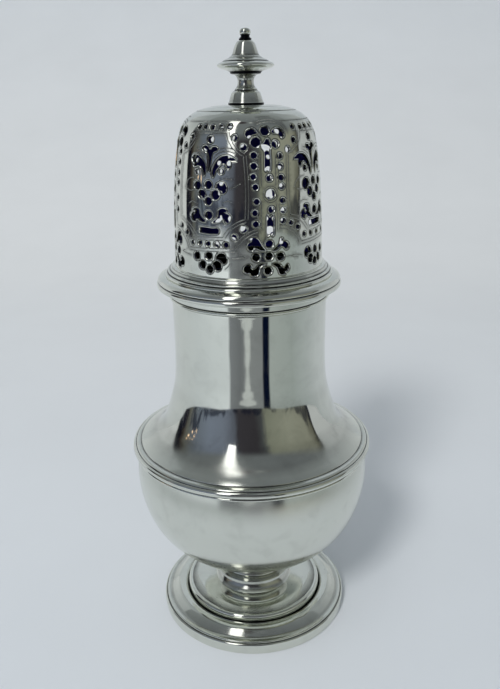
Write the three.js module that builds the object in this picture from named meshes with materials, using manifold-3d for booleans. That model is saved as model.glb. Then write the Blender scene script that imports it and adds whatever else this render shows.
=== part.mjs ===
// Sugar caster: a silver baluster body on a stepped foot, with a tall domed cover that lifts off.
// Millimetres, +Z up. The origin is the middle of the foot's underside, on the surface it stands on.
// Angles round the caster are in degrees, counted from -Y towards +X.

import * as THREE from 'three';
import Module from 'manifold-3d';
import { mergeVertices } from 'three/addons/utils/BufferGeometryUtils.js';

const wasm = await Module();
wasm.setup();

// Smoothness

const TURNED_SEGMENTS = 24;
const DOME_SEGMENTS = 24;
const FINIAL_SEGMENTS = 16;
const CURVE_STEPS = 6;
const FOOT_CURVE_STEPS = 2;
const RIM_CURVE_STEPS = 3;
const DOME_CURVE_STEPS = 3;
const BOWL_STEPS = 8;
const DOT_CORNERS = 4;
const ROUND_CORNERS = 6;

// Largest movement of a surface when the flat faces left by the cuts are merged

const FLAT_TOLERANCE = 0.0001;

// Sheet and fits

const BODY_SHEET = 1.0;
const FOOT_SHEET = 0.9;
const DOME_SHEET = 0.9;
const BEZEL_SHEET = 0.8;
const SOLDER_GAP = 0.3;
const BEZEL_CLEARANCE = 0.3;

// Foot

const FOOT_RADIUS = 30.8;
const FOOT_RIM_HEIGHT = 3.4;
const FOOT_RIM_WIDTH = 4.4;
const FOOT_RIM_DRAFT = 0.8;
const FOOT_RIM_SHOULDER = 0.5;
const FOOT_LEDGE = 3.3;
const FOOT_FLANGE_RADIUS = FOOT_RADIUS - FOOT_LEDGE;
const FOOT_FLANGE_EDGE = 0.6;
const FOOT_OVOLO_RISE = 1.3;
const FOOT_OVOLO_WIDTH = 5.6;
const FOOT_STEP_RADIUS = FOOT_FLANGE_RADIUS - FOOT_OVOLO_WIDTH;
const FOOT_STEP_RISE = 1.2;
const FOOT_BEAD_WIDTH = 1.2;
const FOOT_BEAD_RISE = 0.9;
const FOOT_CENTRE_RISE = 1.0;
const FOOT_HOLE_RADIUS = 5.5;

// Stem

const STEM_HEIGHT = 6.7;
const STEM_BASE_RADIUS = 10.2;
const STEM_BASE_EDGE = 0.7;
const STEM_WAIST_RADIUS = 8.7;
const STEM_COLLAR_RADIUS = 10.4;
const STEM_COLLAR_HEIGHT = 1.6;
const STEM_BORE_RADIUS = 3.5;

// Bowl

const BOWL_RADIUS = 36;
const BOWL_SEAT_RADIUS = 6;
const BOWL_RISE_ABOVE_MIDDLE = 8.8;

// Girdle moulding

const GIRDLE_DEPTH_BELOW_JOINT = 1.4;
const GIRDLE_HEIGHT = 3.5;
const GIRDLE_BEAD = 1.5;
const GIRDLE_FILLET = 0.6;

// Upper body: a vertical foot, a concave shoulder and a straight neck

const UPPER_BODY_INSET = 0.3;
const UPPER_BODY_HEIGHT = 46.4;
const SHOULDER_FOOT = 2;
const SHOULDER_HEIGHT = 26.6;
const NECK_RADIUS = 22.6;
const SHOULDER_CURVE_SHARES = [[0.56, 0.03], [1.02, 0.53]];

// Neck collar

const COLLAR_HEIGHT = 3.5;
const COLLAR_PROUD = 0.85;
const ASTRAGAL_HEIGHT = 1.2;
const ASTRAGAL_QUIRK = 0.5;

// Cover rim

const RIM_OVERHANG = 3.35;
const RIM_HEIGHT = 3.5;
const RIM_EDGE_HEIGHT = 1.6;
const RIM_EDGE_ROUND = 0.5;
const RIM_GROOVE = 0.35;
const RIM_OVOLO_WIDTH = 2.2;

// Cover bezel

const BEZEL_DEPTH = 9.5;

// Dome moulding: a reeded cavetto from the rim in to the dome

const DOME_MOULDING_HEIGHT = 3.1;
const RIM_LEDGE = 0.4;
const DOME_LEDGE = 0.4;
const REED_COUNT = 3;
const REED_DEPTH = 0.3;

// Dome

const DOME_SET_IN = 1.1;
const DOME_SIDE_HEIGHT = 18;
const DOME_SIDE_TAPER = 0.75;
const DOME_SPRING_HEIGHT = 9.5;
const DOME_SPRING_TAPER = 0.85;
const DOME_SHOULDER_HEIGHT = 14.1;
const DOME_SHOULDER_WIDTH = 6.5;
const CROWN_LINE = 0.3;
const CROWN_RISE = 1.2;
const DOME_CURVE_SHARES = [[0.1, 0.5], [0.2, 0.85]];

// Piercing: wide and narrow panels alternate round the dome, each the same on both sides of its middle

const WIDE_PANEL_ANGLES = [-30, 60, 150, 240];
const NARROW_PANEL_ANGLES = [15, 105, 195, 285];
const DOT_DIAMETER = 1.4;
const ROUND_DIAMETER = 2.2;
const TRUMPET_WIDTH = 4.8;
const TRUMPET_LENGTH = 7.5;
const LEAF_WIDTH = 6.9;
const LEAF_LENGTH = 5.6;
const SCROLL_WIDTH = 4.7;
const SCROLL_LENGTH = 3.5;
const PETAL_WIDTH = 3.3;
const PETAL_LENGTH = 2.3;
const FUNNEL_WIDTH = 2.7;
const FUNNEL_LENGTH = 8.3;
const TALL_SLOT_WIDTH = 1.7;
const TALL_SLOT_LENGTH = 4.8;
const BROAD_SLOT_WIDTH = 5.4;
const BROAD_SLOT_LENGTH = 1.7;
const PIERCE_OVERRUN = 1;

// Outlines of the holes, as shares of their width and length about their middle

const TRUMPET_SHARES = [
  [0, -0.5], [0.13, 0.02], [0.27, 0.26], [0.5, 0.36], [0.38, 0.5], [0, 0.38],
  [-0.38, 0.5], [-0.5, 0.36], [-0.27, 0.26], [-0.13, 0.02],
];
const LEAF_SHARES = [
  [-0.4, -0.5], [-0.21, -0.05], [0, 0.14], [0.14, -0.05], [0.28, -0.02], [0.3, 0.25], [0.5, 0.34],
  [0.2, 0.5], [-0.22, 0.32], [-0.5, -0.2],
];
const SCROLL_SHARES = [
  [-0.5, -0.46], [0.14, -0.22], [0.26, -0.5], [0.5, -0.32], [0.47, 0.1], [0.22, 0.18], [0.36, 0.42],
  [0.05, 0.5], [-0.26, -0.04],
];
const PETAL_SHARES = [[-0.46, -0.12], [0.22, -0.5], [0.48, -0.15], [0.42, 0.28], [0, 0.5], [-0.4, 0.3]];
const FUNNEL_SHARES = [[-0.28, -0.5], [0.28, -0.5], [0.28, 0.15], [0.5, 0.5], [-0.5, 0.5], [-0.28, 0.15]];
const SLOT_SHARES = [[-0.5, -0.5], [0.5, -0.5], [0.5, 0.5], [-0.5, 0.5]];

// Places of the holes: degrees from the panel's middle, and shares of the dome's height

const WIDE_DOT_SHARES = [
  [0, 0.887], [7.6, 0.887], [15, 0.887], [20, 0.822], [26, 0.767],
  [34.8, 0.726], [34.8, 0.664], [34.8, 0.603], [34.8, 0.544], [34.8, 0.463], [34.8, 0.396], [34.8, 0.332],
  [26, 0.297], [20, 0.253], [14.8, 0.205], [7.5, 0.205], [0, 0.205],
  [10.8, 0.633],
];
const WIDE_ROUND_SHARES = [
  [0, 0.817],
  [0, 0.556], [10.8, 0.55], [5.6, 0.5], [0, 0.463],
  [0, 0.377],
  [0, 0.129], [10.8, 0.122], [5.9, 0.07], [0, 0.044],
];
const TRUMPET_PLACE_SHARES = [[0, 0.688]];
const LEAF_PLACE_SHARES = [[12, 0.67]];
const WIDE_SCROLL_PLACE_SHARES = [[9.6, 0.378]];
const BROAD_SLOT_PLACE_SHARES = [[0, 0.286]];

const NARROW_DOT_SHARES = [[0, 0.595], [0, 0.411]];
const NARROW_ROUND_SHARES = [
  [0, 0.864], [8.6, 0.81],
  [0, 0.505],
  [0, 0.212], [0, 0.132], [9.2, 0.127], [0, 0.045],
];
const PETAL_PLACE_SHARES = [[11.8, 0.85]];
const FUNNEL_PLACE_SHARES = [[0, 0.728]];
const TALL_SLOT_PLACE_SHARES = [[0, 0.317]];
const UPPER_SCROLL_PLACE_SHARES = [[10, 0.206]];
const LOWER_SCROLL_PLACE_SHARES = [[10.6, 0.055]];

// Finial: its outline runs from the foot up, in shares of its disc's radius and of its height

const FINIAL_RADIUS = 7.7;
const FINIAL_HEIGHT = 19;
const FINIAL_FOOT_SHARE = 0.63;
const FINIAL_OUTLINE_SHARES = [
  [FINIAL_FOOT_SHARE, 0], [FINIAL_FOOT_SHARE, 0.03], [0.56, 0.04], [0.58, 0.08], [0.53, 0.14], [0.44, 0.18],
  [0.37, 0.21], [0.29, 0.25], [0.29, 0.33], [0.36, 0.38], [0.56, 0.42], [0.75, 0.43], [0.97, 0.49], [1, 0.52],
  [0.93, 0.55], [0.77, 0.57], [0.55, 0.62], [0.45, 0.66], [0.38, 0.76], [0.27, 0.83], [0.19, 0.86],
  [0.14, 0.89], [0.14, 0.92], [0.2, 0.95], [0.15, 0.985], [0, 1],
];

// Heights of the seats, from the floor up

const FOOT_OVOLO_TOP = FOOT_RIM_HEIGHT + FOOT_FLANGE_EDGE + FOOT_OVOLO_RISE;
const FOOT_BEAD_TOP = FOOT_OVOLO_TOP + FOOT_STEP_RISE + FOOT_BEAD_RISE;
const STEM_BASE_HEIGHT = FOOT_BEAD_TOP + FOOT_CENTRE_RISE;
const BOWL_BASE_HEIGHT = STEM_BASE_HEIGHT + STEM_HEIGHT;
const BOWL_MIDDLE_HEIGHT = BOWL_BASE_HEIGHT + Math.sqrt(BOWL_RADIUS ** 2 - BOWL_SEAT_RADIUS ** 2);
const JOINT_HEIGHT = BOWL_MIDDLE_HEIGHT + BOWL_RISE_ABOVE_MIDDLE;
const NECK_TOP_HEIGHT = JOINT_HEIGHT + UPPER_BODY_HEIGHT;
const MOUTH_HEIGHT = NECK_TOP_HEIGHT + COLLAR_HEIGHT;
const RIM_TOP_HEIGHT = MOUTH_HEIGHT + RIM_HEIGHT;
const DOME_BASE_HEIGHT = RIM_TOP_HEIGHT + DOME_MOULDING_HEIGHT;
const DOME_SIDE_TOP_HEIGHT = DOME_BASE_HEIGHT + DOME_SIDE_HEIGHT;
const DOME_SPRING_TOP_HEIGHT = DOME_SIDE_TOP_HEIGHT + DOME_SPRING_HEIGHT;
const CROWN_HEIGHT = DOME_SPRING_TOP_HEIGHT + DOME_SHOULDER_HEIGHT;
const FINIAL_BASE_HEIGHT = CROWN_HEIGHT + CROWN_LINE + CROWN_RISE;

// Radii that the seats share

const BOWL_JOINT_RADIUS = sphereRadiusAt(BOWL_RADIUS, JOINT_HEIGHT);
const UPPER_BODY_RADIUS = BOWL_JOINT_RADIUS - UPPER_BODY_INSET;
const MOUTH_RADIUS = NECK_RADIUS - BODY_SHEET;
const BEZEL_RADIUS = MOUTH_RADIUS - BEZEL_CLEARANCE;
const COVER_BORE_RADIUS = BEZEL_RADIUS - BEZEL_SHEET;
const COLLAR_RADIUS = NECK_RADIUS + COLLAR_PROUD;
const RIM_RADIUS = COLLAR_RADIUS + RIM_OVERHANG;
const RIM_TOP_RADIUS = RIM_RADIUS - RIM_OVOLO_WIDTH;
const DOME_RADIUS = NECK_RADIUS - DOME_SET_IN;
const DOME_SIDE_RADIUS = DOME_RADIUS - DOME_SIDE_TAPER;
const DOME_SPRING_RADIUS = DOME_SIDE_RADIUS - DOME_SPRING_TAPER;
const CROWN_RADIUS = DOME_SPRING_RADIUS - DOME_SHOULDER_WIDTH;

// Outlines: lists of [radius, height] points

/** The radius of a sphere round the bowl's middle where it is cut at a height. */
function sphereRadiusAt(radius, height) {
  return Math.sqrt(radius ** 2 - (height - BOWL_MIDDLE_HEIGHT) ** 2);
}

/** The lower height at which a sphere round the bowl's middle has a given radius about the axis. */
function sphereHeightAt(radius, distance) {
  return BOWL_MIDDLE_HEIGHT - Math.sqrt(radius ** 2 - distance ** 2);
}

/** Points along an arc of a sphere round the bowl's middle, from one height up to another. */
function sphereArc(radius, fromHeight, toHeight) {
  const start = Math.asin((fromHeight - BOWL_MIDDLE_HEIGHT) / radius);
  const end = Math.asin((toHeight - BOWL_MIDDLE_HEIGHT) / radius);
  return Array.from({ length: BOWL_STEPS + 1 }, (_, step) => {
    const angle = THREE.MathUtils.lerp(start, end, step / BOWL_STEPS);
    return [radius * Math.cos(angle), BOWL_MIDDLE_HEIGHT + radius * Math.sin(angle)];
  });
}

/** Points along a curve through its first and last given point, pulled by those between. */
function curveOutline(points, steps = CURVE_STEPS) {
  const vectors = points.map(([radius, height]) => new THREE.Vector2(radius, height));
  const Curve = vectors.length === 3 ? THREE.QuadraticBezierCurve : THREE.CubicBezierCurve;
  return new Curve(...vectors).getPoints(steps).map((point) => [point.x, point.y]);
}

/** The curve from one corner to another, pulled by two points given as shares of the way across and up. */
function sharedCurve([fromRadius, fromHeight], [toRadius, toHeight], pullShares, steps = CURVE_STEPS) {
  const pulls = pullShares.map(([across, up]) => [
    THREE.MathUtils.lerp(fromRadius, toRadius, across),
    THREE.MathUtils.lerp(fromHeight, toHeight, up),
  ]);
  return curveOutline([[fromRadius, fromHeight], ...pulls, [toRadius, toHeight]], steps);
}

/** The outline moved inwards by a distance, square to each of its stretches. */
function insetOutline(outline, distance) {
  const points = outline.map(([radius, height]) => new THREE.Vector2(radius, height));
  return points.map((point, index) => {
    const normals = [[index - 1, index], [index, index + 1]]
      .filter(([from, to]) => from >= 0 && to < points.length)
      .map(([from, to]) => {
        const along = points[to].clone().sub(points[from]).normalize();
        return new THREE.Vector2(-along.y, along.x);
      });
    const first = normals[0];
    const last = normals[normals.length - 1];
    const shift = first.clone().add(last).multiplyScalar(distance / (1 + first.dot(last)));
    return [point.x + shift.x, point.y + shift.y];
  });
}

/** The outline of a sheet of one thickness behind an outer outline, with a level edge at its foot. */
function sheetOutline(outer, thickness) {
  const inner = insetOutline(outer, thickness);
  inner[0][1] = outer[0][1];
  return [...inner.reverse(), ...outer];
}

// Solids

/** A solid of revolution about Z from a closed outline, or from one that starts and ends on the axis. */
function turned(outline, segments = TURNED_SEGMENTS) {
  const points = outline.map(([radius, height]) => new THREE.Vector2(radius, height));
  return new THREE.LatheGeometry(points, segments).rotateX(Math.PI / 2);
}

/** The same outline with its first point repeated at the end. */
function closed(outline) {
  return [...outline, outline[0]];
}

const silver = new THREE.MeshStandardMaterial({ color: 0xc9c8c0, roughness: 0.18, metalness: 1 });

/** A named sub-part in silver. */
function piece(name, geometry) {
  const mesh = new THREE.Mesh(geometry, silver.clone());
  mesh.name = name;
  return mesh;
}

// Foot

/** The solid wire band that the caster stands on. */
function footRim() {
  const innerRadius = FOOT_RADIUS - FOOT_RIM_WIDTH;
  return turned(closed([
    [innerRadius, 0],
    [FOOT_RADIUS, 0],
    [FOOT_RADIUS - FOOT_RIM_DRAFT, FOOT_RIM_HEIGHT - FOOT_RIM_SHOULDER],
    [FOOT_RADIUS - FOOT_RIM_DRAFT - FOOT_RIM_SHOULDER, FOOT_RIM_HEIGHT],
    [innerRadius, FOOT_RIM_HEIGHT],
  ]));
}

/** The spun foot: a flange on the band, an ovolo, a bead on a step, and a low dish rising to the stem. */
function footDome() {
  const flangeTop = FOOT_RIM_HEIGHT + FOOT_FLANGE_EDGE;
  const beadFoot = FOOT_OVOLO_TOP + FOOT_STEP_RISE;
  const ovoloRadius = FOOT_FLANGE_RADIUS - FOOT_OVOLO_RISE;
  const dishRadius = FOOT_STEP_RADIUS - FOOT_BEAD_WIDTH;
  const seatRadius = STEM_BASE_RADIUS + FOOT_BEAD_WIDTH;
  const outer = [
    [FOOT_FLANGE_RADIUS, FOOT_RIM_HEIGHT],
    ...curveOutline(
      [[FOOT_FLANGE_RADIUS, flangeTop], [ovoloRadius, FOOT_OVOLO_TOP], [FOOT_STEP_RADIUS, FOOT_OVOLO_TOP]],
      FOOT_CURVE_STEPS,
    ),
    [FOOT_STEP_RADIUS, beadFoot],
    [FOOT_STEP_RADIUS - FOOT_BEAD_WIDTH / 2, FOOT_BEAD_TOP],
    ...curveOutline(
      [[dishRadius, FOOT_BEAD_TOP], [seatRadius, FOOT_BEAD_TOP], [STEM_BASE_RADIUS, STEM_BASE_HEIGHT]],
      FOOT_CURVE_STEPS,
    ),
    [FOOT_HOLE_RADIUS, STEM_BASE_HEIGHT],
  ];
  return turned(closed(sheetOutline(outer, FOOT_SHEET)));
}

// Stem

/** The spool between foot and bowl, dished on top so that the bowl beds into it. */
function stem() {
  const collarBase = BOWL_BASE_HEIGHT - STEM_COLLAR_HEIGHT;
  const waistHeight = (STEM_BASE_HEIGHT + STEM_BASE_EDGE + collarBase) / 2;
  const lip = sphereHeightAt(BOWL_RADIUS, STEM_COLLAR_RADIUS) - SOLDER_GAP;
  return turned(closed([
    [STEM_BORE_RADIUS, STEM_BASE_HEIGHT],
    [STEM_BASE_RADIUS, STEM_BASE_HEIGHT],
    [STEM_BASE_RADIUS, STEM_BASE_HEIGHT + STEM_BASE_EDGE],
    [STEM_WAIST_RADIUS, waistHeight],
    [STEM_WAIST_RADIUS, collarBase - STEM_BASE_EDGE],
    [STEM_COLLAR_RADIUS, collarBase],
    [STEM_COLLAR_RADIUS, lip],
    [BOWL_SEAT_RADIUS, BOWL_BASE_HEIGHT],
    [STEM_BORE_RADIUS, BOWL_BASE_HEIGHT],
  ]));
}

// Bowl

/** The near-hemispherical bowl, flattened where it seats on the stem and open at the joint. */
function bowl() {
  const floorHeight = BOWL_BASE_HEIGHT + BODY_SHEET;
  const outer = sphereArc(BOWL_RADIUS, BOWL_BASE_HEIGHT, JOINT_HEIGHT);
  const inner = sphereArc(BOWL_RADIUS - BODY_SHEET, floorHeight, JOINT_HEIGHT).reverse();
  return turned([[0, BOWL_BASE_HEIGHT], ...outer, ...inner, [0, floorHeight]]);
}

/** The half-round wire, with a fillet on each side, that covers the joint of bowl and upper body. */
function girdleMoulding() {
  const bottom = JOINT_HEIGHT - GIRDLE_DEPTH_BELOW_JOINT;
  const top = bottom + GIRDLE_HEIGHT;
  const bottomRadius = sphereRadiusAt(BOWL_RADIUS, bottom) + SOLDER_GAP;
  const topRadius = UPPER_BODY_RADIUS + SOLDER_GAP;
  const beadRadius = bottomRadius + GIRDLE_BEAD;
  return turned(closed([
    [bottomRadius, bottom],
    [bottomRadius + GIRDLE_FILLET, bottom],
    [beadRadius, bottom + GIRDLE_FILLET],
    [beadRadius, top - 2 * GIRDLE_FILLET],
    [bottomRadius + GIRDLE_FILLET, top - GIRDLE_FILLET],
    [topRadius, top],
    [topRadius, JOINT_HEIGHT + GIRDLE_FILLET],
    [BOWL_JOINT_RADIUS + SOLDER_GAP, JOINT_HEIGHT],
  ]));
}

// Upper body

/** The concave shoulder and straight neck, an open tube that stands on the bowl's edge. */
function upperBody() {
  const curveFoot = [UPPER_BODY_RADIUS, JOINT_HEIGHT + SHOULDER_FOOT];
  const curveTop = [NECK_RADIUS, JOINT_HEIGHT + SHOULDER_FOOT + SHOULDER_HEIGHT];
  const outer = [
    [UPPER_BODY_RADIUS, JOINT_HEIGHT],
    ...sharedCurve(curveFoot, curveTop, SHOULDER_CURVE_SHARES),
    [NECK_RADIUS, NECK_TOP_HEIGHT],
  ];
  return turned(closed(sheetOutline(outer, BODY_SHEET)));
}

/** The band round the mouth, with an astragal along its lower edge. */
function neckCollar() {
  const astragalTop = NECK_TOP_HEIGHT + ASTRAGAL_HEIGHT;
  return turned(closed([
    [MOUTH_RADIUS, NECK_TOP_HEIGHT],
    [NECK_RADIUS, NECK_TOP_HEIGHT],
    [COLLAR_RADIUS, NECK_TOP_HEIGHT + ASTRAGAL_QUIRK / 2],
    [COLLAR_RADIUS, astragalTop - ASTRAGAL_QUIRK / 2],
    [COLLAR_RADIUS - ASTRAGAL_QUIRK, astragalTop],
    [COLLAR_RADIUS, astragalTop + ASTRAGAL_QUIRK / 2],
    [COLLAR_RADIUS, MOUTH_HEIGHT],
    [MOUTH_RADIUS, MOUTH_HEIGHT],
  ]));
}

// Cover

/** The heavy moulding that rests on the mouth: a rounded edge, a fine groove and an ovolo. */
function coverRim() {
  const grooveHeight = MOUTH_HEIGHT + RIM_EDGE_HEIGHT;
  const ovolo = curveOutline(
    [[RIM_RADIUS, grooveHeight + RIM_GROOVE], [RIM_RADIUS, RIM_TOP_HEIGHT], [RIM_TOP_RADIUS, RIM_TOP_HEIGHT]],
    RIM_CURVE_STEPS,
  );
  return turned(closed([
    [COVER_BORE_RADIUS, MOUTH_HEIGHT],
    [RIM_RADIUS - RIM_EDGE_ROUND, MOUTH_HEIGHT],
    [RIM_RADIUS, MOUTH_HEIGHT + RIM_EDGE_ROUND],
    [RIM_RADIUS, grooveHeight - RIM_GROOVE],
    [RIM_RADIUS - RIM_GROOVE, grooveHeight],
    ...ovolo,
    [COVER_BORE_RADIUS, RIM_TOP_HEIGHT],
  ]));
}

/** The sleeve under the rim that slides into the mouth. */
function coverBezel() {
  return turned(closed([
    [COVER_BORE_RADIUS, MOUTH_HEIGHT - BEZEL_DEPTH],
    [BEZEL_RADIUS, MOUTH_HEIGHT - BEZEL_DEPTH],
    [BEZEL_RADIUS, MOUTH_HEIGHT],
    [COVER_BORE_RADIUS, MOUTH_HEIGHT],
  ]));
}

/** The reeds that step in from the rim to the foot of the dome. */
function domeMoulding() {
  const footRadius = RIM_TOP_RADIUS - RIM_LEDGE;
  const topRadius = DOME_RADIUS + DOME_LEDGE;
  const reeds = Array.from({ length: REED_COUNT }, (_, reed) => {
    const radius = THREE.MathUtils.lerp(footRadius, topRadius, reed / (REED_COUNT - 1));
    const low = THREE.MathUtils.lerp(RIM_TOP_HEIGHT, DOME_BASE_HEIGHT, reed / REED_COUNT);
    const high = THREE.MathUtils.lerp(RIM_TOP_HEIGHT, DOME_BASE_HEIGHT, (reed + 1) / REED_COUNT);
    return [[radius, low], [radius, high - REED_DEPTH], [radius - REED_DEPTH, high]];
  });
  return turned(closed([
    [COVER_BORE_RADIUS, RIM_TOP_HEIGHT],
    ...reeds.flat(),
    [COVER_BORE_RADIUS, DOME_BASE_HEIGHT],
  ]));
}

/** The outside of the dome from its foot to the axis. */
function domeOutline() {
  return [
    [DOME_RADIUS, DOME_BASE_HEIGHT],
    [DOME_SIDE_RADIUS, DOME_SIDE_TOP_HEIGHT],
    ...sharedCurve(
      [DOME_SPRING_RADIUS, DOME_SPRING_TOP_HEIGHT],
      [CROWN_RADIUS, CROWN_HEIGHT],
      DOME_CURVE_SHARES,
      DOME_CURVE_STEPS,
    ),
    [CROWN_RADIUS - CROWN_LINE, CROWN_HEIGHT + CROWN_LINE],
    [FINIAL_RADIUS * FINIAL_FOOT_SHARE, FINIAL_BASE_HEIGHT],
    [0, FINIAL_BASE_HEIGHT],
  ];
}

/** The frame of the dome's surface at an angle and a share of its height, with Z square to the surface. */
function domeFrame(degrees, heightShare) {
  const outline = domeOutline();
  const height = THREE.MathUtils.lerp(DOME_BASE_HEIGHT, FINIAL_BASE_HEIGHT, heightShare);
  const upper = outline.findIndex((point) => point[1] > height);
  const [[lowRadius, lowHeight], [highRadius, highHeight]] = [outline[upper - 1], outline[upper]];
  const radius = THREE.MathUtils.mapLinear(height, lowHeight, highHeight, lowRadius, highRadius);
  const tilt = Math.atan2(lowRadius - highRadius, highHeight - lowHeight);
  const angle = THREE.MathUtils.degToRad(degrees);
  const outward = new THREE.Vector3(
    Math.sin(angle) * Math.cos(tilt),
    -Math.cos(angle) * Math.cos(tilt),
    Math.sin(tilt),
  );
  const across = new THREE.Vector3(Math.cos(angle), Math.sin(angle), 0);
  const frame = new THREE.Matrix4().makeBasis(across, outward.clone().cross(across), outward);
  return frame.setPosition(radius * Math.sin(angle), -radius * Math.cos(angle), height);
}

/** The closed geometry as a solid that can be cut. */
function solidFrom(geometry) {
  const bare = geometry.clone();
  bare.deleteAttribute('normal');
  bare.deleteAttribute('uv');
  const merged = mergeVertices(bare);
  return new wasm.Manifold(new wasm.Mesh({
    numProp: 3,
    vertProperties: Float32Array.from(merged.attributes.position.array),
    triVerts: Uint32Array.from(merged.index.array),
  }));
}

/** The geometry of a cut solid. */
function geometryFrom(solid) {
  const mesh = solid.getMesh();
  const geometry = new THREE.BufferGeometry();
  geometry.setAttribute('position', new THREE.BufferAttribute(mesh.vertProperties, 3));
  geometry.setIndex(new THREE.BufferAttribute(mesh.triVerts, 1));
  geometry.computeVertexNormals();
  return geometry;
}

/** The corners of a round hole, as far out as gives the hole its circle's area. */
function roundOutline(diameter, corners) {
  const turn = (2 * Math.PI) / corners;
  const reach = (diameter / 2) * Math.sqrt(turn / Math.sin(turn));
  return Array.from({ length: corners }, (_, corner) => {
    const angle = turn * (corner + 1 / 2);
    return new THREE.Vector2(Math.sin(angle), Math.cos(angle)).multiplyScalar(reach);
  });
}

/** The corners of a shaped hole, from shares of its width and length; -1 turns it over that way. */
function shapedOutline(shares, width, length, sideways = 1, upright = 1) {
  return shares.map(([across, along]) => (
    new THREE.Vector2(sideways * across * width, upright * along * length)
  ));
}

// The kinds of hole, each with its tail or tip towards the panel's middle on the given side

const dot = () => roundOutline(DOT_DIAMETER, DOT_CORNERS);
const round = () => roundOutline(ROUND_DIAMETER, ROUND_CORNERS);
const trumpet = () => shapedOutline(TRUMPET_SHARES, TRUMPET_WIDTH, TRUMPET_LENGTH);
const leaf = (side) => shapedOutline(LEAF_SHARES, LEAF_WIDTH, LEAF_LENGTH, side);
const scroll = (side) => shapedOutline(SCROLL_SHARES, SCROLL_WIDTH, SCROLL_LENGTH, side);
const hangingScroll = (side) => shapedOutline(SCROLL_SHARES, SCROLL_WIDTH, SCROLL_LENGTH, side, -1);
const petal = (side) => shapedOutline(PETAL_SHARES, PETAL_WIDTH, PETAL_LENGTH, side);
const funnel = () => shapedOutline(FUNNEL_SHARES, FUNNEL_WIDTH, FUNNEL_LENGTH);
const tallSlot = () => shapedOutline(SLOT_SHARES, TALL_SLOT_WIDTH, TALL_SLOT_LENGTH);
const broadSlot = () => shapedOutline(SLOT_SHARES, BROAD_SLOT_WIDTH, BROAD_SLOT_LENGTH);

/** The drill that cuts one hole through the dome's sheet at an angle and a share of the dome's height. */
function drill(corners, degrees, heightShare) {
  const depth = DOME_SHEET + 2 * PIERCE_OVERRUN;
  const geometry = new THREE.ExtrudeGeometry(new THREE.Shape(corners), { depth, bevelEnabled: false });
  geometry.translate(0, 0, PIERCE_OVERRUN - depth);
  return solidFrom(geometry.applyMatrix4(domeFrame(degrees, heightShare)));
}

/** The drills for one kind of hole in a panel, with a mirror image of each that isn't on the middle. */
function mirroredDrills(middle, places, kind) {
  return places.flatMap(([degrees, heightShare]) => {
    const sides = degrees === 0 ? [1] : [1, -1];
    return sides.map((side) => drill(kind(side), middle + side * degrees, heightShare));
  });
}

/** A wide panel: dots framing a trumpet, leaves, scrolls, a cluster and a slot, with a cluster below. */
function widePanel(middle) {
  return [
    ...mirroredDrills(middle, WIDE_DOT_SHARES, dot),
    ...mirroredDrills(middle, WIDE_ROUND_SHARES, round),
    ...mirroredDrills(middle, TRUMPET_PLACE_SHARES, trumpet),
    ...mirroredDrills(middle, LEAF_PLACE_SHARES, leaf),
    ...mirroredDrills(middle, WIDE_SCROLL_PLACE_SHARES, scroll),
    ...mirroredDrills(middle, BROAD_SLOT_PLACE_SHARES, broadSlot),
  ];
}

/** A narrow panel: petals over a funnel, rounds and a slot, with scrolls about a cross of rounds below. */
function narrowPanel(middle) {
  return [
    ...mirroredDrills(middle, NARROW_DOT_SHARES, dot),
    ...mirroredDrills(middle, NARROW_ROUND_SHARES, round),
    ...mirroredDrills(middle, PETAL_PLACE_SHARES, petal),
    ...mirroredDrills(middle, FUNNEL_PLACE_SHARES, funnel),
    ...mirroredDrills(middle, TALL_SLOT_PLACE_SHARES, tallSlot),
    ...mirroredDrills(middle, UPPER_SCROLL_PLACE_SHARES, scroll),
    ...mirroredDrills(middle, LOWER_SCROLL_PLACE_SHARES, hangingScroll),
  ];
}

/** The domed shell with its piercings cut square through the sheet. */
function piercedDome() {
  const drills = [...WIDE_PANEL_ANGLES.flatMap(widePanel), ...NARROW_PANEL_ANGLES.flatMap(narrowPanel)];
  const facetsToPanels = THREE.MathUtils.degToRad(NARROW_PANEL_ANGLES[0]) - Math.PI / DOME_SEGMENTS;
  const shell = turned(sheetOutline(domeOutline(), DOME_SHEET), DOME_SEGMENTS).rotateZ(facetsToPanels);
  const pierced = drills.reduce((solid, cutter) => solid.subtract(cutter), solidFrom(shell));
  return geometryFrom(pierced.asOriginal().simplify(FLAT_TOLERANCE));
}

/** The turned finial: a bulb, a spool, a sharp disc, a bell and a ball. */
function finial() {
  const outline = FINIAL_OUTLINE_SHARES.map(([across, up]) => [
    across * FINIAL_RADIUS,
    FINIAL_BASE_HEIGHT + up * FINIAL_HEIGHT,
  ]);
  return turned([[0, FINIAL_BASE_HEIGHT], ...outline], FINIAL_SEGMENTS);
}

// Assembly

const body = new THREE.Group();
body.add(
  piece('foot_rim', footRim()),
  piece('foot_dome', footDome()),
  piece('stem', stem()),
  piece('bowl', bowl()),
  piece('girdle_moulding', girdleMoulding()),
  piece('upper_body', upperBody()),
  piece('neck_collar', neckCollar()),
);

const cover = new THREE.Group();
cover.add(
  piece('cover_rim', coverRim()),
  piece('cover_bezel', coverBezel()),
  piece('dome_moulding', domeMoulding()),
  piece('pierced_dome', piercedDome()),
  piece('finial', finial()),
);

const caster = new THREE.Group();
caster.add(body, cover);

export default caster;
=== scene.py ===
"""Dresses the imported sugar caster: turned, pierced and engraved sterling silver on a pale studio sweep.

Lengths are in millimetres until a mesh is made. Heights run up from the table. Angles run round the caster's
axis, in degrees, from the front (-Y) towards the right (+X).
"""

import logging
import math
from collections.abc import Callable
from dataclasses import dataclass, field
from enum import Enum, IntEnum
from functools import partial

import bpy
import numpy as np
from mathutils import Matrix, Vector
from mathutils.geometry import delaunay_2d_cdt
from mathutils.kdtree import KDTree


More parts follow.
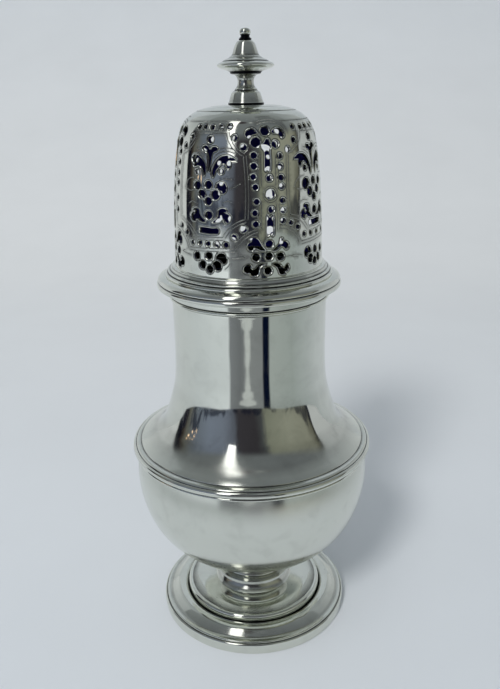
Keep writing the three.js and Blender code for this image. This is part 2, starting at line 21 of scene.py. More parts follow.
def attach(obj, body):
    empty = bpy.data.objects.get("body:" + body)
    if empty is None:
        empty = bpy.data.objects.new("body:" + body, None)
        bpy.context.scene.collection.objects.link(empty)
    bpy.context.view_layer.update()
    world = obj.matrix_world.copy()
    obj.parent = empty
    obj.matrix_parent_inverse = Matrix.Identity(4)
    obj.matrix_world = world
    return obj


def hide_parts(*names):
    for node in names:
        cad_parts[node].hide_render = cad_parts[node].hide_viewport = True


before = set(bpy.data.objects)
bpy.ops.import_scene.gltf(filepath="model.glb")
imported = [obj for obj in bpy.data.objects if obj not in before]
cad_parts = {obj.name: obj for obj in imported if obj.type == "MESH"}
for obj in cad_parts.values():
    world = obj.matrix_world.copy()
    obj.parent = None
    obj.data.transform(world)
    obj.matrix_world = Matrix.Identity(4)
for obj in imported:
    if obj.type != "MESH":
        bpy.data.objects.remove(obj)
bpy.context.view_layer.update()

Point = tuple[float, float]
Run = list[Point]
Triple = tuple[float, float, float]
Array = np.ndarray
# The lines that bound the flat sheet, each after its number as an Edge or a hole.
Outlines = list[tuple[int, Array]]
Material = bpy.types.Material
Socket = bpy.types.NodeSocket
AddNode = Callable[..., bpy.types.Node]

LOG = logging.getLogger("caster")
MM = 0.001
TURN_SEGMENTS = 192
# The longest facet along a straight part of an outline, in millimetres.
STRAIGHT_STEP = 3.0


class Stroke(Enum):
    """How the graver cut a line."""

    SINGLE = "single"
    DOUBLE = "double"


SINGLE, DOUBLE = Stroke


# Curves


def linear(hex_colour: str) -> tuple[float, float, float, float]:
    """Turns an sRGB hex colour into the linear colour that Blender's sockets take.

    Args:
        hex_colour: The colour, as "#RRGGBB".

    Returns:
        Linear red, green and blue, and full alpha.
    """
    parts = [int(hex_colour[i : i + 2], 16) / 255 for i in (1, 3, 5)]
    return (*(p / 12.92 if p <= 0.04045 else ((p + 0.055) / 1.055) ** 2.4 for p in parts), 1.0)


def per_metre(size_mm: float) -> float:
    """Gives the texture scale at which one cell or wave is size_mm long."""
    return 1 / (size_mm * MM)


def through(points: Run | Array, closed: bool = False, per_span: int = 10) -> Array:
    """Traces a smooth curve through points, as a centripetal Catmull-Rom curve.

    Args:
        points: The points that the curve passes.
        closed: Whether the curve joins its own start.
        per_span: How many points each span gets.

    Returns:
        The traced points, one row each.
    """
    knots = np.asarray(points, float)
    if len(knots) < 3 and not closed:
        return knots
    if closed:
        ring = np.vstack([knots[-1], knots, knots[:2]])
    else:
        ring = np.vstack([2 * knots[0] - knots[1], knots, 2 * knots[-1] - knots[-2]])
    spans = []
    for a, b, c, d in zip(ring[:-3], ring[1:-2], ring[2:-1], ring[3:]):
        t0 = 0.0
        t1 = t0 + max(np.linalg.norm(b - a), 1e-6) ** 0.5
        t2 = t1 + max(np.linalg.norm(c - b), 1e-6) ** 0.5
        t3 = t2 + max(np.linalg.norm(d - c), 1e-6) ** 0.5
        t = np.linspace(t1, t2, per_span, endpoint=False)[:, None]
        ab = ((t1 - t) * a + (t - t0) * b) / (t1 - t0)
        bc = ((t2 - t) * b + (t - t1) * c) / (t2 - t1)
        cd = ((t3 - t) * c + (t - t2) * d) / (t3 - t2)
        abc = ((t2 - t) * ab + (t - t0) * bc) / (t2 - t0)
        bcd = ((t3 - t) * bc + (t - t1) * cd) / (t3 - t1)
        spans.append(((t2 - t) * abc + (t - t1) * bcd) / (t2 - t1))
    if not closed:
        spans.append(knots[-1:])
    return np.vstack(spans)


def measured(line: Array) -> Array:
    """Gives how far along a line each of its points lies."""
    return np.concatenate([[0], np.cumsum(np.linalg.norm(np.diff(line, axis=0), axis=1))])


def spaced(points: Array, step: float, closed: bool = False) -> Array:
    """Sets points out evenly along a line.

    Args:
        points: The line's points.
        step: The spacing wanted, which is evened out over the line.
        closed: Whether the line joins its own start.

    Returns:
        Evenly spaced points, without the repeated start of a closed line.
    """
    line = np.vstack([points, points[:1]]) if closed else points
    run = measured(line)
    count = max(3 if closed else 1, round(run[-1] / step))
    marks = np.linspace(0, run[-1], count + 1)
    even = np.column_stack([np.interp(marks, run, line[:, k]) for k in range(line.shape[1])])
    return even[:-1] if closed else even


def thinned(points: Array, turn: float = 7.0, longest: float = 2.0) -> Array:
    """Drops points where a line runs nearly straight.

    Args:
        points: The densely traced line.
        turn: The most that the line may turn between two kept points, in degrees.
        longest: The most that two kept points may be apart.

    Returns:
        The kept points, the first and last among them.
    """
    kept = [points[0]]
    heading = points[1] - points[0]
    for here, after in zip(points[1:], points[2:]):
        ahead = after - here
        swing = abs(math.degrees(math.atan2(np.cross(heading, ahead), float(heading @ ahead))))
        if swing > turn or np.linalg.norm(after - kept[-1]) > longest:
            kept.append(here)
            heading = ahead
    kept.append(points[-1])
    return np.array(kept)


def flattened(outline: Run, below: float = 38.0, bottom: float = 15.0, rise: float = 3.5) -> Run:
    """Raises the bottom of a ball-shaped outline, as the bowl's was hammered flatter under its widest part.

    Args:
        outline: Radius and height of each point.
        below: The height under which points rise, more the lower they are.
        bottom: The height at which they rise by the whole of rise.
        rise: How much the bottom rises.

    Returns:
        The flatter outline.
    """
    return [(r, h + rise * max(0.0, (below - h) / (below - bottom)) ** 2) for r, h in outline]


def arc(centre_height: float, radius: float, low: float, high: float, count: int = 12) -> Run:
    """Gives points up a circle in the outline's plane, between two heights.

    Args:
        centre_height: The height of the circle's centre, which lies on the axis.
        radius: The circle's radius.
        low: The height to start at.
        high: The height to end at.
        count: How many points to give.

    Returns:
        The points, as radius and height.
    """
    start, end = (math.asin((h - centre_height) / radius) for h in (low, high))
    angles = np.linspace(start, end, count)
    return [(radius * math.cos(a), centre_height + radius * math.sin(a)) for a in angles]


# Nodes and finishes


def add_node(
    tree: bpy.types.NodeTree, kind: str, inputs: dict[str | int, object] | None = None, **settings: object,
) -> bpy.types.Node:
    """Adds a node, sets it up and links it.

    Args:
        tree: The tree that gets the node.
        kind: Blender's name for the kind of node, less the ShaderNode that all start with.
        inputs: For each input, by name or place, the value it is set to or the socket it is linked from.
        settings: Attributes of the node. stops is a list of place and colour pairs for its colour ramp. A
            colour may be given in hex.

    Returns:
        The new node.
    """
    node = tree.nodes.new("ShaderNode" + kind)
    for key, value in settings.items():
        if key == "stops":
            elements = node.color_ramp.elements
            while len(elements) < len(value):
                elements.new(1.0)
            for element, (place, colour) in zip(elements, value):
                element.position = place
                element.color = linear(colour) if isinstance(colour, str) else colour
        else:
            setattr(node, key, value)
    for key, value in (inputs or {}).items():
        if isinstance(value, Socket):
            tree.links.new(value, node.inputs[key])
        else:
            node.inputs[key].default_value = linear(value) if isinstance(value, str) else value
    return node


def blank_material(name: str) -> tuple[Material, AddNode]:
    """Makes a material with an empty node tree.

    Args:
        name: The material's name.

    Returns:
        The material, and add_node for its tree.
    """
    material = bpy.data.materials.new(name)
    material.use_nodes = True
    material.node_tree.nodes.clear()
    return material, partial(add_node, material.node_tree)


def mesh_object(
    name: str, vertices: list[Triple], faces: list[tuple[int, ...]], *finishes: Material, **values: Array,
) -> bpy.types.Object:
    """Makes a smooth mesh and puts it in the scene.

    Args:
        name: The name of the object and its mesh.
        vertices: Its points, in metres.
        faces: Its faces.
        finishes: Its materials.
        values: A number for each point, under the name by which a material reads it.

    Returns:
        The object.
    """
    mesh = bpy.data.meshes.new(name)
    mesh.from_pydata(vertices, [], faces)
    mesh.shade_smooth()
    for finish in finishes:
        mesh.materials.append(finish)
    for key, numbers in values.items():
        mesh.attributes.new(key, "FLOAT", "POINT").data.foreach_set("value", np.asarray(numbers, np.float32))
    made = bpy.data.objects.new(name, mesh)
    bpy.context.scene.collection.objects.link(made)
    return made


@dataclass(frozen=True)
class SterlingSilver:
    """Sterling silver, worked by hand and polished.

    To the eye it is a mirror that is never quite flat. Reflections sway where the hammer and the buff have
    been, sulphur darkens what the cloth can't reach, and years of polishing leave hairlines and a few small
    pits.
    """

    name: str
    # A light film keeps old silver a shade greyer than new, and a little green.
    colour: str = "#DEE0D7"
    # Silver sulphide in the hollows reads as a bluish black.
    tarnish: str = "#15161A"
    roughness: float = 0.055
    # Planishing and buffing leave waves one to two centimetres long and some hundredths of a millimetre high.
    wave_length: float = 14.0
    wave_height: float = 0.03
    # Buffing lines run round a turned piece: about 0.05 mm apart in reality, and drawn at 0.4 mm to show.
    buff_pitch: float = 0.4
    buff_height: float = 0.0006
    # Hairlines from wear are about 0.02 mm wide, drawn at 0.12 mm so that they show, and up to 6 mm long.
    hairline_width: float = 0.12
    hairline_length: float = 6.0
    hairline_depth: float = 0.0005
    # Pits are up to twice pit_radius across, and only some of their places have one, in the thick clouds.
    pit_spacing: float = 5.5
    pit_radius: float = 0.26
    # Tarnish comes in clouds some 7 mm across.
    cloud_size: float = 7.0
    cloud_share: float = 0.12
    # Hands have worn the polish softer low down: by scuff, up to this height, fading over its last 4 mm.
    scuffed_below: float = 0.0
    scuff: float = 0.0
    scuff_fade: float = 4.0

    def material(self) -> Material:
        """Builds the finish as a node material.

        Returns:
            The material.
        """
        material, add = blank_material(self.name)
        place = add("TexCoord").outputs["Object"]
        hollow = add("Attribute", attribute_name="hollow").outputs["Fac"]
        waves = add(
            "TexNoise",
            {"Vector": place, "Scale": per_metre(self.wave_length), "Detail": 1.5, "Roughness": 0.35},
        ).outputs["Fac"]
        clouds = add(
            "TexNoise",
            {"Vector": place, "Scale": per_metre(self.cloud_size), "Detail": 5.0, "Roughness": 0.62,
             "Distortion": 0.4},
        ).outputs["Fac"]
        buff_scale = (per_metre(30.0), per_metre(30.0), per_metre(self.buff_pitch))
        buff_place = add("Mapping", {"Vector": place, "Scale": buff_scale}).outputs["Vector"]
        buffing = add(
            "TexNoise", {"Vector": buff_place, "Scale": 1.0, "Detail": 2.0, "Roughness": 0.6},
        ).outputs["Fac"]
        hairlines = self._hairlines(add, place)
        pits = self._pits(add, place, clouds)

        in_hollows = add("Math", {0: clouds, 1: 1.5, 2: 0.55}, operation="MULTIPLY_ADD").outputs[0]
        in_clouds = add(
            "MapRange", {"Value": clouds, "From Min": 0.5, "From Max": 0.78, "To Max": self.cloud_share},
        ).outputs["Result"]
        film = add("Math", {0: hollow, 1: in_hollows, 2: in_clouds}, operation="MULTIPLY_ADD").outputs[0]
        film = add("Math", {0: film, 1: pits}, operation="ADD", use_clamp=True).outputs[0]
        colour = add("Mix", {"Factor": film, 6: self.colour, 7: self.tarnish}, data_type="RGBA").outputs[2]

        height = add("SeparateXYZ", {"Vector": place}).outputs["Z"]
        dull = add(
            "MapRange",
            {"Value": height, "From Min": (self.scuffed_below - self.scuff_fade) * MM,
             "From Max": self.scuffed_below * MM, "To Min": self.roughness + self.scuff,
             "To Max": self.roughness},
        ).outputs["Result"]
        for mark, share in ((film, 0.3), (hairlines, 0.05), (clouds, 0.04)):
            dull = add("Math", {0: mark, 1: share, 2: dull}, operation="MULTIPLY_ADD").outputs[0]

        marks = add("Math", {0: hairlines, 1: pits}, operation="ADD").outputs[0]
        below: dict[str, Socket] = {}
        for relief, depth, sunk in (
            (waves, self.wave_height, False), (buffing, self.buff_height, False),
            (marks, self.hairline_depth, True),
        ):
            bump = add(
                "Bump", {"Height": relief, "Distance": depth * MM, "Strength": 1.0, **below}, invert=sunk,
            )
            below = {"Normal": bump.outputs["Normal"]}
        shader = add("BsdfPrincipled", {"Base Color": colour, "Metallic": 1.0, "Roughness": dull, **below})
        add("OutputMaterial", {"Surface": shader.outputs["BSDF"]})
        return material

    def _hairlines(self, add: AddNode, place: Socket) -> Socket:
        """Draws fine scratches in two leanings.

        Args:
            add: add_node for the material's tree.
            place: The surface's place, in metres.

        Returns:
            A socket that is 1 in a scratch and 0 beside it.
        """
        along = per_metre(self.hairline_length)
        layers = []
        for lean in ((0.5, 0.3, 0.6), (-0.4, 0.9, -0.7)):
            turned = add(
                "Mapping",
                {"Vector": place, "Rotation": lean, "Scale": (per_metre(self.hairline_width), along, along)},
            ).outputs["Vector"]
            grain = add("TexNoise", {"Vector": turned, "Scale": 1.0, "Detail": 0.0}).outputs["Fac"]
            layers.append(add("MapRange", {"Value": grain, "From Min": 0.73, "From Max": 0.8}).outputs[0])
        return add("Math", {0: layers[0], 1: layers[1]}, operation="MAXIMUM").outputs[0]

    def _pits(self, add: AddNode, place: Socket, clouds: Socket) -> Socket:
        """Scatters small pits where the clouds are thickest.

        Args:
            add: add_node for the material's tree.
            place: The surface's place, in metres.
            clouds: The tarnish clouds.

        Returns:
            A socket that is 1 in a pit and 0 beside it.
        """
        cells = add("TexVoronoi", {"Vector": place, "Scale": per_metre(self.pit_spacing)}).outputs["Distance"]
        share = self.pit_radius / self.pit_spacing
        dots = add(
            "MapRange",
            {"Value": cells, "From Min": share * 0.5, "From Max": share, "To Min": 1.0, "To Max": 0.0},
        ).outputs["Result"]
        where = add(
            "MapRange", {"Value": clouds, "From Min": 0.52, "From Max": 0.56, "To Max": 0.9},
        ).outputs["Result"]
        return add("Math", {0: dots, 1: where}, operation="MULTIPLY").outputs[0]


@dataclass(frozen=True)
class TarnishedInside:
    """Silver never polished, inside the cover: a blue-black film of sulphide, dull and a little uneven."""

    name: str = "silver_sulphide_unpolished"
    thick: str = "#10106E"
    thin: str = "#1E1E86"
    # The film is thicker in patches some 5 mm across.
    patch_size: float = 5.0

    def material(self) -> Material:
        """Builds the film as a node material.

        Returns:
            The material.
        """
        material, add = blank_material(self.name)
        place = add("TexCoord").outputs["Object"]
        patches = add(
            "TexNoise",
            {"Vector": place, "Scale": per_metre(self.patch_size), "Detail": 4.0, "Roughness": 0.6},
        ).outputs["Fac"]
        colour = add("Mix", {"Factor": patches, 6: self.thick, 7: self.thin}, data_type="RGBA").outputs[2]
        shader = add("BsdfPrincipled", {"Base Color": colour, "Metallic": 0.4, "Roughness": 0.5})
        add("OutputMaterial", {"Surface": shader.outputs["BSDF"]})
        return material


# Turned pieces


@dataclass(frozen=True)
class Dent:
    """A knock in the metal: its place on the surface, how wide it is and how far it goes in."""

    angle: float
    radius: float
    height: float
    width: float
    depth: float

    def centre(self) -> Vector:
        """Gives the dent's middle, in millimetres."""
        turn = math.radians(self.angle)
        return Vector((self.radius * math.sin(turn), -self.radius * math.cos(turn), self.height))


@dataclass
class Turning:
    """A piece turned about the caster's axis.

    The path is a closed outline, up the outside first. A point in it is a corner, reached by a straight line.
    A list is a smooth curve that goes on from the corner before and ends in one. Polishing has eased every
    corner.
    """

    name: str
    path: list[Point | Run]
    ease: float = 0.12
    dents: tuple[Dent, ...] = ()
    stains: tuple[Triple, ...] = ()

    def outline(self) -> Array:
        """Traces the outline with its corners eased.

        Returns:
            The outline's points, anticlockwise, as radius and height.
        """
        most_of_side, nearly_straight = 0.42, -0.96
        parts = [part if isinstance(part, list) else [part] for part in self.path]
        traced: list[Array] = []
        corners: list[int] = []
        for before, part in zip(parts[-1:] + parts, parts):
            run = np.array([before[-1], *part], float)
            corners.append(len(traced))
            traced.extend((thinned(through(run)) if len(run) > 2 else spaced(run, STRAIGHT_STEP))[:-1])
        eased: list[Array] = []
        for i, here in enumerate(traced):
            back, on = traced[i - 1] - here, traced[(i + 1) % len(traced)] - here
            back_length, on_length = np.linalg.norm(back), np.linalg.norm(on)
            straight = back @ on / (back_length * on_length) < nearly_straight
            if i not in corners or straight or here[0] < 1e-6:
                eased.append(here)
                continue
            start = here + back / back_length * min(self.ease, most_of_side * back_length)
            end = here + on / on_length * min(self.ease, most_of_side * on_length)
            for t in (0.0, 0.25, 0.5, 0.75, 1.0):
                eased.append((1 - t) ** 2 * start + 2 * t * (1 - t) * here + t * t * end)
        return np.array(eased)

    def hollows(self, outline: Array) -> Array:
        """Works out how far each point of the outline lies in a hollow, where tarnish stays.

        Args:
            outline: The closed outline.

        Returns:
            For each point, 0 on the flat or a ridge, up to 1 in a sharp groove.
        """
        # How finely the outline is sampled, how wide a polishing cloth bridges, and how deep it leaves all
        # the tarnish.
        step, bridge, darkest = 0.05, 0.42, 0.1
        ring = np.vstack([outline, outline[:1]])
        run = measured(ring)
        marks = np.arange(0, run[-1], step)
        dense = np.column_stack([np.interp(marks, run, ring[:, k]) for k in range(2)])
        shifts = range(-30, 31)
        weights = np.exp(-((np.array(shifts) * step / bridge) ** 2))
        weights /= weights.sum()
        soft = sum(w * np.roll(dense, -k, axis=0) for w, k in zip(weights, shifts))
        along = np.roll(dense, -1, axis=0) - np.roll(dense, 1, axis=0)
        outward = np.column_stack([along[:, 1], -along[:, 0]])
        outward /= np.linalg.norm(outward, axis=1)[:, None] + 1e-9
        depth = np.einsum("ij,ij->i", soft - dense, outward)
        return np.interp(run[:-1], marks, np.clip(depth / darkest, 0, 1))

    def build(self, finish: Material, segments: int = TURN_SEGMENTS) -> bpy.types.Object:
        """Turns the outline into a mesh and dresses it.

        Args:
            finish: The material it gets.
            segments: How many facets go round.

        Returns:
            The object, in metres.
        """
        outline = self.outline()
        hollow = self.hollows(outline)
        for low, high, amount in self.stains:
            reached = (outline[:, 1] > low) & (outline[:, 1] < high)
            hollow[reached] = np.maximum(hollow[reached], amount)
        turns = np.arange(segments) * 2 * math.pi / segments
        rows = len(outline)
        vertices = np.empty((rows, segments, 3))
        vertices[..., 0] = outline[:, :1] * np.sin(turns)
        vertices[..., 1] = -outline[:, :1] * np.cos(turns)
        vertices[..., 2] = outline[:, 1:]
        on_axis = outline[:, 0] < 1e-6
        faces = []
        for i in range(rows):
            k = (i + 1) % rows
            if on_axis[i] and on_axis[k]:
                continue
            for j in range(segments):
                m = (j + 1) % segments
                quad = (i * segments + j, i * segments + m, k * segments + m, k * segments + j)
                if on_axis[i]:
                    quad = (i * segments, quad[2], quad[3])
                elif on_axis[k]:
                    quad = (quad[0], quad[1], k * segments)
                faces.append(quad)
        points = (vertices.reshape(-1, 3) * MM).tolist()
        piece = mesh_object(self.name, points, faces, finish, hollow=np.repeat(hollow, segments))
        self._knock(piece.data)
        piece.data.set_sharp_from_angle(angle=math.radians(34))
        return piece

    def _knock(self, mesh: bpy.types.Mesh) -> None:
        """Presses the dents into the mesh.

        Args:
            mesh: The turned mesh, in metres.
        """
        for dent in self.dents:
            centre, width, depth = dent.centre() * MM, dent.width * MM, dent.depth * MM
            moves = []
            for vertex in mesh.vertices:
                gap = (vertex.co - centre).length
                if gap < 2.5 * width:
                    moves.append((vertex, vertex.normal * (depth * math.exp(-((gap / width) ** 2)))))
            for vertex, move in moves:
                vertex.co -= move


# Foot, stem and body


@dataclass
class Foot:
    """The solid wire band that stands on the table, and the spun foot soldered on it."""

    band_radius: float = 30.1
    band_height: float = 3.5
    band_bore: float = 26.4
    flange_radius: float = 29.35
    step_radius: float = 21.95
    hole_radius: float = 5.5
    sheet: float = 0.9

    def band(self) -> Turning:
        """Shapes the band, with an upright face and a rounded top edge.

        Returns:
            The turned piece.
        """
        r, h = self.band_radius, self.band_height
        return Turning("foot_wire_band", [
            (r - 0.35, 0.0), (r - 0.08, 0.4),
            [(r, 1.2), (r, 2.2), (r - 0.05, 3.1), (r - 0.2, 3.4), (r - 0.45, 3.55)],
            (r - 0.7, 3.3), (r - 1.0, h), (self.band_bore, h), (self.band_bore, 0.0),
        ], ease=0.06, dents=(Dent(14, 30.0, 1.6, 1.5, 0.12), Dent(-38, 30.0, 2.1, 2.2, 0.07)))

    def spun(self) -> Turning:
        """Shapes the spun foot: an ovolo inside the flange, a bead on a step, and a dish rising to the stem.

        Returns:
            The turned piece.
        """
        f, s, hole = self.flange_radius, self.step_radius, self.hole_radius
        h = self.band_height
        return Turning("foot_spun_dish", [
            (f, 3.75),
            [(f - 0.12, 4.0), (f - 0.4, 4.08), (28.3, 4.12), (27.6, 4.35), (26.8, 4.9), (25.9, 5.55),
             (24.9, 5.98), (24.0, 6.1), (23.1, 5.95), (22.5, 5.6)],
            (s + 0.05, 5.1), (s, 6.4),
            [(21.85, 7.0), (21.4, 7.42), (20.9, 7.52), (20.55, 7.44)],
            [(19.9, 7.72), (19.0, 8.1), (18.0, 8.4), (16.5, 8.58), (14.0, 8.55), (12.5, 8.55), (11.0, 8.6)],
            (hole, 8.6), (hole, 8.6 - self.sheet),
            [(11.0, 7.65), (16.5, 7.68), (18.6, 7.2), (20.1, 6.5)],
            (21.0, 6.2), (21.1, 4.6),
            [(22.6, 4.8), (24.2, 5.1), (25.6, 4.6), (26.3, h)],
            (f, h),
        ], ease=0.07, dents=(
            Dent(38, 24.6, 5.9, 1.9, 0.16), Dent(42, 22.8, 6.0, 1.1, 0.12), Dent(33, 25.8, 5.4, 1.0, 0.1),
            Dent(52, 25.0, 5.8, 2.4, 0.1), Dent(-62, 24.8, 5.9, 2.6, 0.06), Dent(118, 24.8, 5.9, 3.0, 0.09),
            Dent(196, 25.2, 5.8, 2.2, 0.07),
        ))


@dataclass
class Stem:
    """The spool between foot and bowl."""

    seat_height: float = 8.6
    base_radius: float = 12.6
    waist_radius: float = 10.6
    bowl_centre: float = 50.6
    bowl_radius: float = 36.06

    def spool(self) -> Turning:
        """Shapes the spool: a short neck that flares into the foot's dish, and is dished for the bowl.

        Returns:
            The turned piece.
        """
        b, w, h = self.base_radius, self.waist_radius, self.seat_height
        bed = flattened([
            (r, self.bowl_centre - math.sqrt(self.bowl_radius ** 2 - r * r)) for r in (11.2, 8.0, 4.0, 0.0)
        ])
        return Turning("stem_spool", [
            (b, h), (b, h + 0.08),
            [(w + 1.15, 9.3), (w + 0.45, 10.2), (w + 0.1, 11.2), (w, 12.2), (w + 0.15, 13.2),
             (w + 0.55, 14.2)],
            [(w + 0.75, 14.5), (w + 0.6, 14.9)],
            [(w + 0.7, 16.5), bed[0]],
            bed[1:],
            (0.0, h),
        ], ease=0.06)


@dataclass
class Body:
    """The raised bowl, the girdle over its joint, the upper body, and the collar round the mouth."""

    bowl_radius: float = 35.95
    bowl_centre: float = 50.6
    sheet: float = 1.0
    joint_height: float = 59.4
    girdle_radius: float = 36.95
    neck_radius: float = 22.6
    neck_top: float = 105.8
    collar_radius: float = 23.45
    mouth_radius: float = 21.6
    mouth_height: float = 109.3

    def bowl(self) -> Turning:
        """Shapes the bowl, raised from sheet to a little over half a sphere.

        Returns:
            The turned piece.
        """
        seat, floor = 18.6, 19.3
        outside = flattened(arc(self.bowl_centre, self.bowl_radius, 15.4, self.joint_height, 26))
        inside = flattened(arc(self.bowl_centre, self.bowl_radius - self.sheet, 16.3, self.joint_height, 20))
        return Turning("bowl_raised", [
            (5.0, seat),
            outside,
            inside[-1],
            inside[-2::-1],
            (0.0, floor), (0.0, seat),
        ], dents=(
            Dent(40, 34.0, 42.0, 8.0, 0.1), Dent(-35, 33.0, 34.0, 9.0, 0.09), Dent(4, 31.0, 30.0, 7.0, 0.06),
        ))

    def girdle(self) -> Turning:
        """Shapes the half-round wire with its fillets.

        Returns:
            The turned piece.
        """
        g = self.girdle_radius
        return Turning("girdle_wire", [
            (35.95, 57.5),
            [(g - 0.55, 57.75), (g - 0.42, 58.05), (g - 0.55, 58.35)],
            (g - 0.8, 58.5),
            [(g - 0.35, 58.65), (g - 0.05, 59.1), (g, 59.5), (g - 0.2, 60.1), (g - 0.65, 60.4)],
            (g - 0.95, 60.35),
            [(g - 1.05, 60.6), (g - 1.5, 60.85), (g - 2.05, 60.95)],
            (34.4, 61.05), (34.3, 61.35), (34.4, 60.0), (35.0, 59.42), (35.2, 57.3),
        ], ease=0.06, stains=((57.2, 57.6, 0.9), (58.38, 58.58, 0.9)))

    def upper(self) -> Turning:
        """Shapes the concave shoulder and the nearly straight neck.

        Returns:
            The turned piece.
        """
        n, top, sheet = self.neck_radius, self.neck_top, self.sheet
        outside = [
            (34.35, 61.3), (33.6, 61.75), (32.0, 62.55), (29.6, 64.15), (27.35, 66.85), (25.8, 70.3),
            (24.45, 74.5), (23.35, 78.8), (22.78, 83.8), (n, 88.8), (n - 0.02, 93.6), (n, 98.6),
            (n + 0.05, 103.4), (n + 0.05, top),
        ]
        inside = [(r - sheet, h) for r, h in outside[1:]]
        return Turning("upper_body_raised", [
            outside[0],
            outside[1:],
            (self.mouth_radius, top),
            inside[-2::-1],
            (33.5, 61.0), (33.4, self.joint_height), (34.4, self.joint_height),
        ], dents=(
            Dent(-9, 22.6, 96.0, 3.0, 0.03), Dent(22, 22.6, 88.0, 4.0, 0.03), Dent(55, 23.0, 80.0, 6.0, 0.04),
        ))

    def collar(self) -> Turning:
        """Shapes the band round the mouth, with an astragal along its lower edge.

        Returns:
            The turned piece.
        """
        c, low, top, m = self.collar_radius, self.neck_top, self.mouth_height, self.mouth_radius
        return Turning("mouth_collar", [
            (22.7, low), (22.85, low + 0.2),
            [(c - 0.15, low + 0.3), (c, low + 0.6), (c - 0.15, low + 0.95), (c - 0.5, low + 1.1)],
            (c - 0.45, low + 1.3),
            [(c - 0.1, low + 1.45), (c - 0.05, low + 1.75)],
            (c, top), (m, top), (m, low),
        ])


# Cover


@dataclass
class Cover:
    """The mouldings of the cover, its sleeve and its finial."""

    rim_radius: float = 26.8
    rim_base: float = 109.3
    rim_top: float = 112.8
    bore: float = 20.5
    sleeve_radius: float = 21.3
    sleeve_base: float = 99.8
    dome_base: float = 115.9
    finial_radius: float = 7.68

    def rim(self) -> Turning:
        """Shapes the cast rim: a rounded edge, a fine groove and an ovolo.

        Returns:
            The turned piece.
        """
        r, low, top = self.rim_radius, self.rim_base, self.rim_top
        return Turning("cover_rim_cast", [
            (r - 0.75, low),
            [(r - 0.15, low + 0.25), (r, low + 0.85), (r - 0.1, low + 1.35), (r - 0.3, low + 1.55)],
            (r - 0.5, low + 1.75), (r - 0.3, low + 1.95),
            [(r - 0.35, low + 2.35), (r - 0.8, low + 2.9), (r - 1.5, low + 3.25), (24.7, top)],
            (self.bore, top), (self.bore, low),
        ])

    def sleeve(self) -> Turning:
        """Shapes the plain sleeve that slides into the mouth.

        Returns:
            The turned piece.
        """
        r, low, top = self.sleeve_radius, self.sleeve_base, self.rim_base
        return Turning("cover_sleeve", [
            (r, low), (r, top), (self.bore, top), (self.bore, low),
        ])

    def reeds(self) -> Turning:
        """Shapes the reeded cavetto between rim and dome.

        Returns:
            The turned piece.
        """
        low, top = self.rim_top, self.dome_base
        return Turning("cover_reeds", [
            (24.15, low),
            [(24.2, low + 0.45), (23.95, low + 0.8), (23.6, low + 0.92)],
            (23.45, low + 1.12),
            [(23.5, low + 1.5), (23.15, low + 1.72), (22.85, low + 1.74)],
            [(22.55, low + 2.15), (22.2, low + 2.5), (22.1, low + 2.62)],
            [(22.1, low + 2.85), (21.75, low + 2.95)],
            (21.55, top), (self.bore, top), (self.bore, low),
        ], ease=0.07)

    def finial(self) -> Turning:
        """Shapes the turned finial: a bell foot, a waist, a disc and a tapering button with a small ball.

        Returns:
            The turned piece.
        """
        d = self.finial_radius
        return Turning("finial_turned", [
            (4.8, 159.0),
            [(4.86, 159.3), (4.6, 159.75)],
            [(4.42, 160.3), (4.28, 160.75), (4.12, 161.35), (3.78, 162.05), (3.3, 162.4)],
            (3.05, 162.55),
            [(2.98, 162.9), (2.6, 163.25)],
            [(2.3, 163.8), (2.17, 164.7), (2.3, 165.6), (2.7, 166.2)],
            [(3.1, 166.45), (4.1, 166.75)],
            [(4.25, 167.15), (4.6, 167.35)],
            [(5.84, 167.75), (d - 0.45, 168.25), (d, 168.8), (d - 0.4, 169.3), (6.5, 169.65)],
            (6.15, 169.75),
            [(5.8, 170.1), (5.1, 170.4), (4.4, 170.7)],
            [(4.15, 170.95), (3.75, 171.2)],
            [(3.55, 171.5), (3.25, 172.5), (2.85, 173.6), (2.4, 174.4), (1.9, 174.85)],
            (1.5, 174.95),
            [(1.72, 175.2), (1.5, 175.45)],
            [(1.18, 175.8), (1.2, 176.2)],
            [(1.5, 176.6), (1.52, 177.1), (1.2, 177.65), (0.6, 177.93), (0.0, 177.99)],
            (0.0, 159.0),
        ], ease=0.05, stains=(
            (158.9, 159.35, 0.9), (162.4, 162.62, 0.9), (166.7, 167.25, 0.95), (169.68, 169.85, 0.9),
            (174.9, 176.3, 1.0),
        ))


# Pierced and engraved dome


